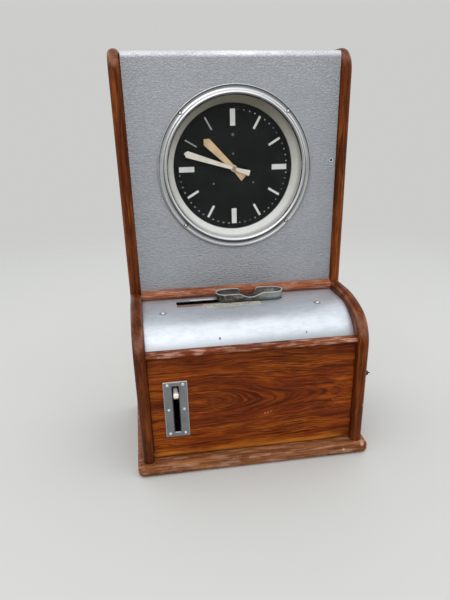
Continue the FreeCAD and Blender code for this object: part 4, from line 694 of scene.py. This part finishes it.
def grow(name, tree, values, points=(), links=()):
    mesh = bpy.data.meshes.new(name)
    mesh.from_pydata([tuple(p) for p in points], links, [])
    piece = put(name, mesh)
    growth = piece.modifiers.new("growth", "NODES")
    growth.node_group = tree
    sockets = {s.name: s.identifier for s in tree.interface.items_tree if s.in_out == "INPUT"}
    for label, value in values.items():
        growth[sockets[label]] = value
    seen = bpy.context.evaluated_depsgraph_get()
    shape = bpy.data.meshes.new_from_object(piece.evaluated_get(seen))
    piece.modifiers.remove(growth)
    piece.data = shape
    return piece


def softEdges(graph, shape, limit):
    smooth = graph.geo("SetShadeSmooth", {0: shape}, domain="FACE")
    sharp = graph.geo("InputMeshEdgeAngle") > limit
    return graph.geo("SetShadeSmooth", {0: smooth, "Selection": sharp, "Shade Smooth": False}, domain="EDGE")


def screwTree():
    # domed heads with a slot and a washer, each turned by its own random angle
    graph, given = newTree("screwHeads", Vector=("Facing",), Int=("Seed",), Float=(
        "Head Radius", "Dome", "Slot Width", "Slot Depth", "Washer Radius", "Washer Height"))
    ball = graph.geo("MeshUVSphere", {"Segments": 28, "Rings": 14, "Radius": 1.0})
    dome = graph.geo("Transform", {0: ball, "Scale": graph.point(1.0, 1.0, given["Dome"])})
    keep = graph.geo("MeshCube", {"Size": (4.0, 4.0, 4.0)})
    keep = graph.geo("Transform", {0: keep, "Translation": (0.0, 0.0, 2.0)})
    dome = graph.geo("MeshBoolean", {1: dome}, operation="INTERSECT", solver="EXACT")
    graph.tree.links.new(keep.output, dome.output.node.inputs[1])
    cut = graph.geo("MeshCube", {"Size": graph.point(3.0, given["Slot Width"], given["Slot Depth"] * 2)})
    cut = graph.geo("Transform", {0: cut, "Translation": graph.point(0.0, 0.0, given["Dome"])})
    head = graph.geo("MeshBoolean", {0: dome, 1: cut}, operation="DIFFERENCE", solver="EXACT")
    washer = graph.geo("MeshCylinder", {
        "Vertices": 28, "Radius": given["Washer Radius"], "Depth": given["Washer Height"]})
    sink = graph.point(0.0, 0.0, given["Washer Height"] * -0.5)
    washer = graph.geo("Transform", {0: washer, "Translation": sink})
    joined = graph.geo("JoinGeometry", {0: head})
    graph.tree.links.new(washer.output, joined.output.node.inputs[0])
    joined = softEdges(graph, joined, 0.6)
    turn = graph.add("FunctionNodeRandomValue", {3: math.pi, "Seed": given["Seed"]}, out=1, data_type="FLOAT")
    spin = graph.add("FunctionNodeEulerToRotation", {0: graph.point(0.0, 0.0, turn)})
    facing = graph.add("FunctionNodeEulerToRotation", {0: given["Facing"]})
    pose = graph.add("FunctionNodeRotateRotation", {0: facing, 1: spin}, rotation_space="LOCAL")
    size = given["Head Radius"]
    return endTree(graph, given, graph.geo("InstanceOnPoints", {
        "Points": given["Geometry"], "Instance": joined, "Rotation": pose, "Scale": graph.point(size, size, size)}))


def dotTree():
    # sixty points on a circle without every fifth, each a flat dot
    graph, given = newTree("minuteDots", Int=("Count",), Vector=("Centre",), Float=(
        "Circle Radius", "Dot Radius", "Dot Height"))
    ring = graph.geo("MeshCircle", {"Vertices": given["Count"], "Radius": given["Circle Radius"]})
    onFifth = graph.calc("MODULO", graph.geo("InputIndex"), 5.0) < 0.5
    ring = graph.geo("DeleteGeometry", {0: ring, "Selection": onFifth}, domain="POINT")
    dot = graph.geo("MeshCylinder", {"Vertices": 10, "Radius": given["Dot Radius"], "Depth": given["Dot Height"]})
    dots = graph.geo("InstanceOnPoints", {"Points": ring, "Instance": dot})
    placed = graph.geo("Transform", {0: dots, "Rotation": forward, "Translation": given["Centre"]})
    return endTree(graph, given, placed)


def coilTree():
    # round wire wound about a straight axis
    graph, given = newTree("woundWire", Int=("Steps",), Vector=("Facing", "Start"), Float=(
        "Turns", "Coil Radius", "Length", "Wire Radius"))
    line = graph.geo("CurveSpiral", {
        "Resolution": given["Steps"], "Rotations": given["Turns"], "Start Radius": given["Coil Radius"],
        "End Radius": given["Coil Radius"], "Height": given["Length"]})
    wire = graph.geo("CurvePrimitiveCircle", {"Resolution": 8, "Radius": given["Wire Radius"]})
    tube = graph.geo("CurveToMesh", {0: line, 1: wire})
    for socket in tube.output.node.inputs:
        if socket.name == "Fill Caps":
            socket.default_value = True
    tube = graph.geo("SetShadeSmooth", {0: tube}, domain="FACE")
    placed = graph.geo("Transform", {0: tube, "Rotation": given["Facing"], "Translation": given["Start"]})
    return endTree(graph, given, placed)


forward = (math.pi / 2, 0.0, 0.0)  # what looks up is turned to look to the front
heads = screwTree()
plainScrew = {"dome": 0.4, "slot": (0.2, 0.24), "washer": (0.5, 0.02), "facing": forward, "finish": "screwSteel"}


def screwHeads(name, look, spots):
    # the shape's measures are shares of the head's radius
    return grow(name, heads, {
        "Head Radius": look["radius"], "Dome": look["dome"], "Slot Width": look["slot"][0],
        "Slot Depth": look["slot"][1], "Washer Radius": look["washer"][0], "Washer Height": look["washer"][1],
        "Facing": look["facing"], "Seed": look["seed"], "Finish": finishes[look["finish"]]}, spots)


bezelScrews = {**plainScrew, "radius": 0.0022, "dome": 0.8, "seed": 3, "circle": 0.1223, "seat": 0.0446}
spots = [(bezelScrews["circle"] * math.cos(math.radians(a)), bezelScrews["seat"],
          dialZ + bezelScrews["circle"] * math.sin(math.radians(a))) for a in (45, 135, 225, 315)]
piece = screwHeads("bezelScrewHeads", bezelScrews, spots)
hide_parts("bezel_screws")
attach(piece, nodes["bezel_screws"]["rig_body"])

plateScrews = {**plainScrew, "radius": 0.0026, "dome": 0.35, "seed": 8, "x": -0.129, "across": 0.025,
               "heights": (0.0681, 0.113, 0.1579), "seat": -0.1053}
spots = [(plateScrews["x"] + side * plateScrews["across"] / 2, plateScrews["seat"], z)
         for side in (-1, 1) for z in plateScrews["heights"]]
piece = screwHeads("leverPlateScrewHeads", plateScrews, spots)
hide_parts("lever_plate_screws")
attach(piece, nodes["lever_plate_screws"]["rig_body"])

coverScrews = {**plainScrew, "radius": 0.0029, "dome": 0.7, "slot": (0.22, 0.34), "washer": (1.6, 0.25),
               "facing": (0.0, 0.0, 0.0), "seed": 5, "places": (-0.1375, 0.125), "y": -0.03, "height": 0.0024}
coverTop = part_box("cover_screws")[1].z
spots = [(x, coverScrews["y"], coverTop - coverScrews["height"]) for x in coverScrews["places"]]
piece = screwHeads("coverScrewHeads", coverScrews, spots)
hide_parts("cover_screws")
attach(piece, nodes["cover_screws"]["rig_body"])

dialScrews = {**plainScrew, "radius": 0.0013, "slot": (0.24, 0.2), "seed": 1, "finish": "dulledScrew",
              "places": ((0.0, 0.023), (-0.034, -0.024), (0.034, -0.024)), "seat": 0.069}
spots = [(x, dialScrews["seat"], dialZ + z) for x, z in dialScrews["places"]]
piece = screwHeads("dialScrewHeads", dialScrews, spots)
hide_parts("dial_screws")
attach(piece, nodes["dial_screws"]["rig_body"])
print("screw heads grown")

minuteTrack = {"count": 60, "radius": 0.0912, "dot": 0.00082, "height": 0.0003, "y": 0.06888}
piece = grow("minuteDots", dotTree(), {
    "Count": minuteTrack["count"], "Circle Radius": minuteTrack["radius"], "Dot Radius": minuteTrack["dot"],
    "Dot Height": minuteTrack["height"], "Centre": (0.0, minuteTrack["y"], dialZ), "Finish": finishes["dots"]})
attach(piece, nodes["hour_bars"]["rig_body"])

pressSpring = {"radius": 0.0063, "wire": 0.00095, "turns": 4.8, "steps": 36}
low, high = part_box("return_spring")
piece = grow("pressSpringWire", coilTree(), {
    "Turns": pressSpring["turns"], "Steps": pressSpring["steps"], "Coil Radius": pressSpring["radius"],
    "Length": high.x - low.x - 2 * pressSpring["wire"], "Wire Radius": pressSpring["wire"],
    "Facing": (0.0, math.pi / 2, 0.0), "Finish": finishes["platedSteel"],
    "Start": (low.x + pressSpring["wire"], (low.y + high.y) / 2, (low.z + high.z) / 2)})
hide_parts("return_spring")
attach(piece, nodes["return_spring"]["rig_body"])
print("dots and spring wound")


# the bezel, turned about the dial's middle from one profile

def turnTree():
    graph, given = newTree("turnedRing", Int=("Steps",), Float=("Circle Radius",), Vector=("Centre",))
    path = graph.geo("CurvePrimitiveCircle", {"Resolution": given["Steps"], "Radius": given["Circle Radius"]})
    section = graph.geo("MeshToCurve", {0: given["Geometry"]})
    ring = graph.geo("CurveToMesh", {0: path, 1: section})
    placed = graph.geo("Transform", {0: ring, "Rotation": forward, "Translation": given["Centre"]})
    return endTree(graph, given, softEdges(graph, placed, 0.7))


bezel = {
    "inner": 0.1109, "glassEdge": 0.118, "seat": 0.047, "glassFace": 0.0443, "beadWidth": 0.0074,
    "beadFace": 0.0393, "beadSteps": 18, "coveWidth": 0.0067, "coveFace": 0.0446, "coveEdge": 0.0434,
    "coveSteps": 8, "rimWidth": 0.0016, "rimFace": 0.0427, "rimSteps": 8, "turnSteps": 160}
beadEdge = bezel["inner"] + bezel["beadWidth"]
rimEdge = beadEdge + bezel["coveWidth"]
outerEdge = rimEdge + bezel["rimWidth"]


def archOver(start, end, foot, face, steps, fullness=2.0):
    # from one radius to the next, from foot over to face and back: 2 is round, 1 is a plain ridge
    middle, half = (start + end) / 2, (end - start) / 2
    line = []
    for i in range(steps + 1):
        turn = math.pi * i / steps
        aside = math.copysign(abs(math.cos(turn)) ** (2 / fullness), math.cos(turn))
        line.append((middle - half * aside, foot + (face - foot) * abs(math.sin(turn)) ** (2 / fullness)))
    return line


profile = [(bezel["glassEdge"], bezel["seat"]), (bezel["glassEdge"], bezel["glassFace"])]
profile += archOver(bezel["inner"], beadEdge, bezel["glassFace"], bezel["beadFace"], bezel["beadSteps"], 1.8)
profile += archOver(beadEdge, rimEdge, bezel["coveEdge"], bezel["coveFace"], bezel["coveSteps"], 1.5)
profile += archOver(rimEdge, outerEdge, bezel["coveEdge"], bezel["rimFace"], bezel["rimSteps"])[1:]
profile += [(outerEdge, bezel["seat"])]
points = [(radius - bezel["inner"], depth, 0.0) for radius, depth in profile]
piece = grow("turnedBezel", turnTree(), {
    "Steps": bezel["turnSteps"], "Circle Radius": bezel["inner"], "Centre": (0.0, 0.0, dialZ),
    "Finish": finishes["bezel"]}, points, [(i, (i + 1) % len(points)) for i in range(len(points))])
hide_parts("bezel_ring")
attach(piece, nodes["bezel_ring"]["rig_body"])
print("bezel turned:", len(profile), "points round")


# closed skins over rings of places

def dress(name, shape, finish):
    mesh = bpy.data.meshes.new(name)
    shape.to_mesh(mesh)
    shape.free()
    mesh.materials.append(finish)
    return put(name, mesh)


def loft(name, rings, finish, closed=True):
    # each ring is joined to the next: round to the first again and smooth, or flat with two ends
    shape = bmesh.new()
    rings = [[shape.verts.new(place) for place in ring] for ring in rings]
    for before, after in zip(rings, rings[1:] + (rings[:1] if closed else [])):
        for i in range(len(before)):
            j = (i + 1) % len(before)
            shape.faces.new((before[i], before[j], after[j], after[i]))
    if not closed:
        shape.faces.new(rings[0])
        shape.faces.new(rings[-1])
    bmesh.ops.recalc_face_normals(shape, faces=shape.faces)
    for face in shape.faces:
        face.smooth = closed
    return dress(name, shape, finish)


# a turned cone round the lock's pin: how far out from the board, how wide

lockCone = {
    "x": 0.19, "y": -0.0973, "z": 0.1439, "steps": 64, "profile": (
        (0.0, 0.00305), (0.0, 0.0058), (0.0007, 0.006), (0.0012, 0.0058), (0.0074, 0.0037), (0.0079, 0.0034),
        (0.0081, 0.00305))}
rings = []
for i in range(lockCone["steps"]):
    turn = 2 * math.pi * i / lockCone["steps"]
    rings.append([(lockCone["x"] + out, lockCone["y"] + wide * math.cos(turn), lockCone["z"] + wide * math.sin(turn))
                  for out, wide in lockCone["profile"]])
piece = loft("lockCone", rings, finishes["darkIron"])
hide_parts("lock_bush")
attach(piece, nodes["lock_bush"]["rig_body"])
print("lock cone turned")

# the card's cast funnel: a flared oval bowl whose wall dips in front, and deeper behind, for the fingers

funnel = {
    "x": 0.015, "y": 0.014, "reach": 0.0415, "rim": 0.01795, "foot": 0.0155, "wall": 0.0024, "floor": 0.0055,
    "throat": 0.0025, "neck": 0.0045, "rimZ": 0.26825, "footZ": 0.2533, "floorZ": 0.2559, "floorThick": 0.0012,
    "neckZ": 0.247, "lip": 0.0009, "front": (0.0068, 0.003, 0.0225), "back": (0.0108, 0.009, 0.0175),
    "straight": 60, "round": 24, "wallSteps": 6, "lipSteps": 6, "bowlSteps": 10}


def funnelTop(along, dip):
    # height of the wall's top over one place along the funnel
    depth, flat, end = dip
    share = min(max((end - abs(along)) / (end - flat), 0.0), 1.0)
    return funnel["rimZ"] - depth * share * share * (3 - 2 * share)


def funnelRows(top):
    # one cut through the wall: up outside, over the lip, down the bowl, through the throat and back
    rim, foot, floor, throat, neck = [funnel[part] for part in ("rim", "foot", "floor", "throat", "neck")]
    rimZ, footZ, floorZ, neckZ = [funnel[part] for part in ("rimZ", "footZ", "floorZ", "neckZ")]
    crest = top - funnel["lip"]
    outside = foot + (rim - foot) * (crest - footZ) / (rimZ - footZ)
    rows = []
    for i in range(funnel["wallSteps"]):
        share = i / funnel["wallSteps"]
        rows.append((foot + (outside - foot) * share, footZ + (crest - footZ) * share))
    full, wide = rimZ - funnel["lip"] - floorZ, rim - funnel["wall"] - floor
    start = math.acos(1 - min(max((crest - floorZ) / full, 0.0), 1.0))
    inside = floor + wide * math.sin(start)
    for i in range(funnel["lipSteps"] + 1):
        turn = math.pi * i / funnel["lipSteps"]
        rows.append(((outside + inside) / 2 + (outside - inside) / 2 * math.cos(turn),
                     crest + funnel["lip"] * math.sin(turn)))
    for i in range(1, funnel["bowlSteps"] + 1):
        turn = start * (1 - i / funnel["bowlSteps"])
        rows.append((floor + wide * math.sin(turn), floorZ + full * (1 - math.cos(turn))))
    return rows + [(throat, floorZ - funnel["floorThick"]), (throat, neckZ), (neck, neckZ), (neck, footZ)]


stations = []
for side, dip in ((-1, funnel["front"]), (1, funnel["back"])):
    for i in range(funnel["straight"]):
        along = -side * funnel["reach"] * (2 * i / funnel["straight"] - 1)
        stations.append((along, 0.0, side, funnelTop(along, dip)))
    for i in range(funnel["round"]):
        turn = math.pi * (i / funnel["round"] - 0.5)
        stations.append((-side * funnel["reach"], -side * math.cos(turn), -side * math.sin(turn), funnel["rimZ"]))
piece = loft("castFunnel", [[(funnel["x"] + along + away * dx, funnel["y"] + away * dy, z)
                             for away, z in funnelRows(top)] for along, dx, dy, top in stations], finishes["cast"])
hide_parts("card_guide")
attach(piece, nodes["card_guide"]["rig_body"])
print("funnel cast")

# thin bare strip on the cover, with ragged sides

def labelFinish(look):
    paint = Paint("labelFinish", look)
    flakes = paint.clouds(150, 6.0, 0.72)
    bare = paint.fade(flakes, 0.52, 0.6)
    paint.lay(paint.fade(paint.clouds(60, 3.0, 0.5), 0.4, 0.7), "deep", on="light")
    paint.lay(bare * 0.7, "metal")
    return paint.finish(Roughness=0.55, Metallic=bare * 0.6, Normal=paint.bump(flakes, 0.0001, 0.5))


labelStrip = {
    "left": -0.069, "right": 0.030, "front": -0.0185, "back": -0.0005, "top": 0.25292, "thick": 0.00012,
    "ragged": 0.0004, "frayed": 0.0003, "steps": 66, "light": (196, 194, 184), "deep": (172, 168, 156),
    "metal": (150, 152, 154)}
rings = []
for i in range(labelStrip["steps"] + 1):
    x = labelStrip["left"] + (labelStrip["right"] - labelStrip["left"]) * i / labelStrip["steps"]
    ragged = labelStrip["ragged"] * math.sin(i * 1.7) + labelStrip["frayed"] * math.sin(i * 4.1 + 1)
    front, back = labelStrip["front"] + ragged, labelStrip["back"] - ragged * 0.6
    top, foot = labelStrip["top"], labelStrip["top"] - labelStrip["thick"]
    rings.append([(x, front, top), (x, back, top), (x, back, foot), (x, front, foot)])
piece = loft("bareLabelStrip", rings, labelFinish(labelStrip), closed=False)
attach(piece, nodes["curved_cover"]["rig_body"])
print("label strip laid")


# floor, light and camera

studio = {
    "backdrop": tone((204, 205, 202)), "zenith": (0.98, 0.99, 1.0, 1.0), "skyLow": (0.66, 0.67, 0.68, 1.0),
    "skyHigh": (1.2, 1.22, 1.25, 1.0), "floor": (200, 200, 196), "floorStain": (196, 196, 192),
    "floorRadius": 7.0, "floorZ": -0.0002, "key": 8.0, "fill": 2.0, "top": 4.0}

shape = bmesh.new()
bmesh.ops.create_circle(shape, cap_ends=True, segments=96, radius=studio["floorRadius"])
paint = Paint("studioFloor", studio)
paint.lay(paint.fade(paint.clouds(5, 3.0, 0.5), 0.3, 0.7) * 0.15, "floorStain", on="floor")
away = paint.measureAway(paint.x, paint.y)
floor = dress("studioFloor", shape, paint.finish(Alpha=1 - paint.fade(away, 0.7, 2.2), Roughness=0.8))
floor.location.z = studio["floorZ"]
floor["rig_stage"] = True

world = bpy.data.worlds.new("studio")
bpy.context.scene.world = world
world.use_nodes = True
air = Graph(world.node_tree)
world.node_tree.nodes.clear()
# camera, mirror and see-through rays find the backdrop, all others the light
rays = air.add("ShaderNodeLightPath").output.node.outputs
seen = Wire(air, rays["Is Camera Ray"])
for kind in ("Is Glossy Ray", "Is Transmission Ray"):
    seen = air.calc("MAXIMUM", seen, Wire(air, rays[kind]))
height = air.add("ShaderNodeSeparateXYZ", {0: air.add("ShaderNodeTexCoord")}, out=2)
height = air.add("ShaderNodeMapRange", {"Value": height, "From Min": 0.08, "From Max": 0.75},
                 interpolation_type="SMOOTHSTEP")
shown, light = [
    air.add("ShaderNodeBackground", {"Strength": 1.0, "Color": air.add(
        "ShaderNodeMix", {0: height, 6: studio[low], 7: studio[high]}, out=2, data_type="RGBA")})
    for low, high in (("backdrop", "zenith"), ("skyLow", "skyHigh"))]
mixed = air.add("ShaderNodeMixShader", {0: seen, 1: light, 2: shown})
end = world.node_tree.nodes.new("ShaderNodeOutputWorld")
world.node_tree.links.new(mixed.output, end.inputs[0])


def lamp(name, place, aim, size, power):
    data = bpy.data.lights.new(name, "AREA")
    data.shape = "RECTANGLE"
    data.size, data.size_y = size
    data.energy = power
    body = put(name, data)
    body.location = place
    body.rotation_euler = (Vector(aim) - Vector(place)).to_track_quat("-Z", "Y").to_euler()


lamp("keyLamp", (-0.6, -1.8, 1.9), (0, 0, 0.3), (1.6, 1.2), studio["key"])
lamp("fillLamp", (1.8, -1.2, 1.2), (0, 0, 0.3), (1.4, 1.4), studio["fill"])
lamp("topLamp", (0.0, -0.5, 2.2), (0, 0, 0.3), (2.0, 1.6), studio["top"])

view = {
    "place": (-0.15725, -0.87687, 0.55561), "side": (0.985597, -0.168311, -0.016459),
    "up": (0.083953, 0.402467, 0.911577), "ahead": (0.146804, 0.899829, -0.410800), "focal": 542.05,
    "centre": (235.0, 353.9), "size": (450, 600), "sensor": 36.0}
data = bpy.data.cameras.new("photoView")
data.sensor_fit = "AUTO"
data.sensor_width = view["sensor"]
data.lens = view["focal"] / view["size"][1] * view["sensor"]
data.shift_x = (view["size"][0] / 2 - view["centre"][0]) / view["size"][1]
data.shift_y = (view["centre"][1] - view["size"][1] / 2) / view["size"][1]
data.clip_start = 0.02
camera = put("photoView", data)
turn = Matrix((view["side"], view["up"], [-part for part in view["ahead"]])).transposed()
camera.matrix_world = Matrix.Translation(view["place"]) @ turn.to_4x4()
bpy.context.scene.camera = camera
bpy.context.scene.view_settings.view_transform = "Standard"
print("studio set")

low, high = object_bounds()
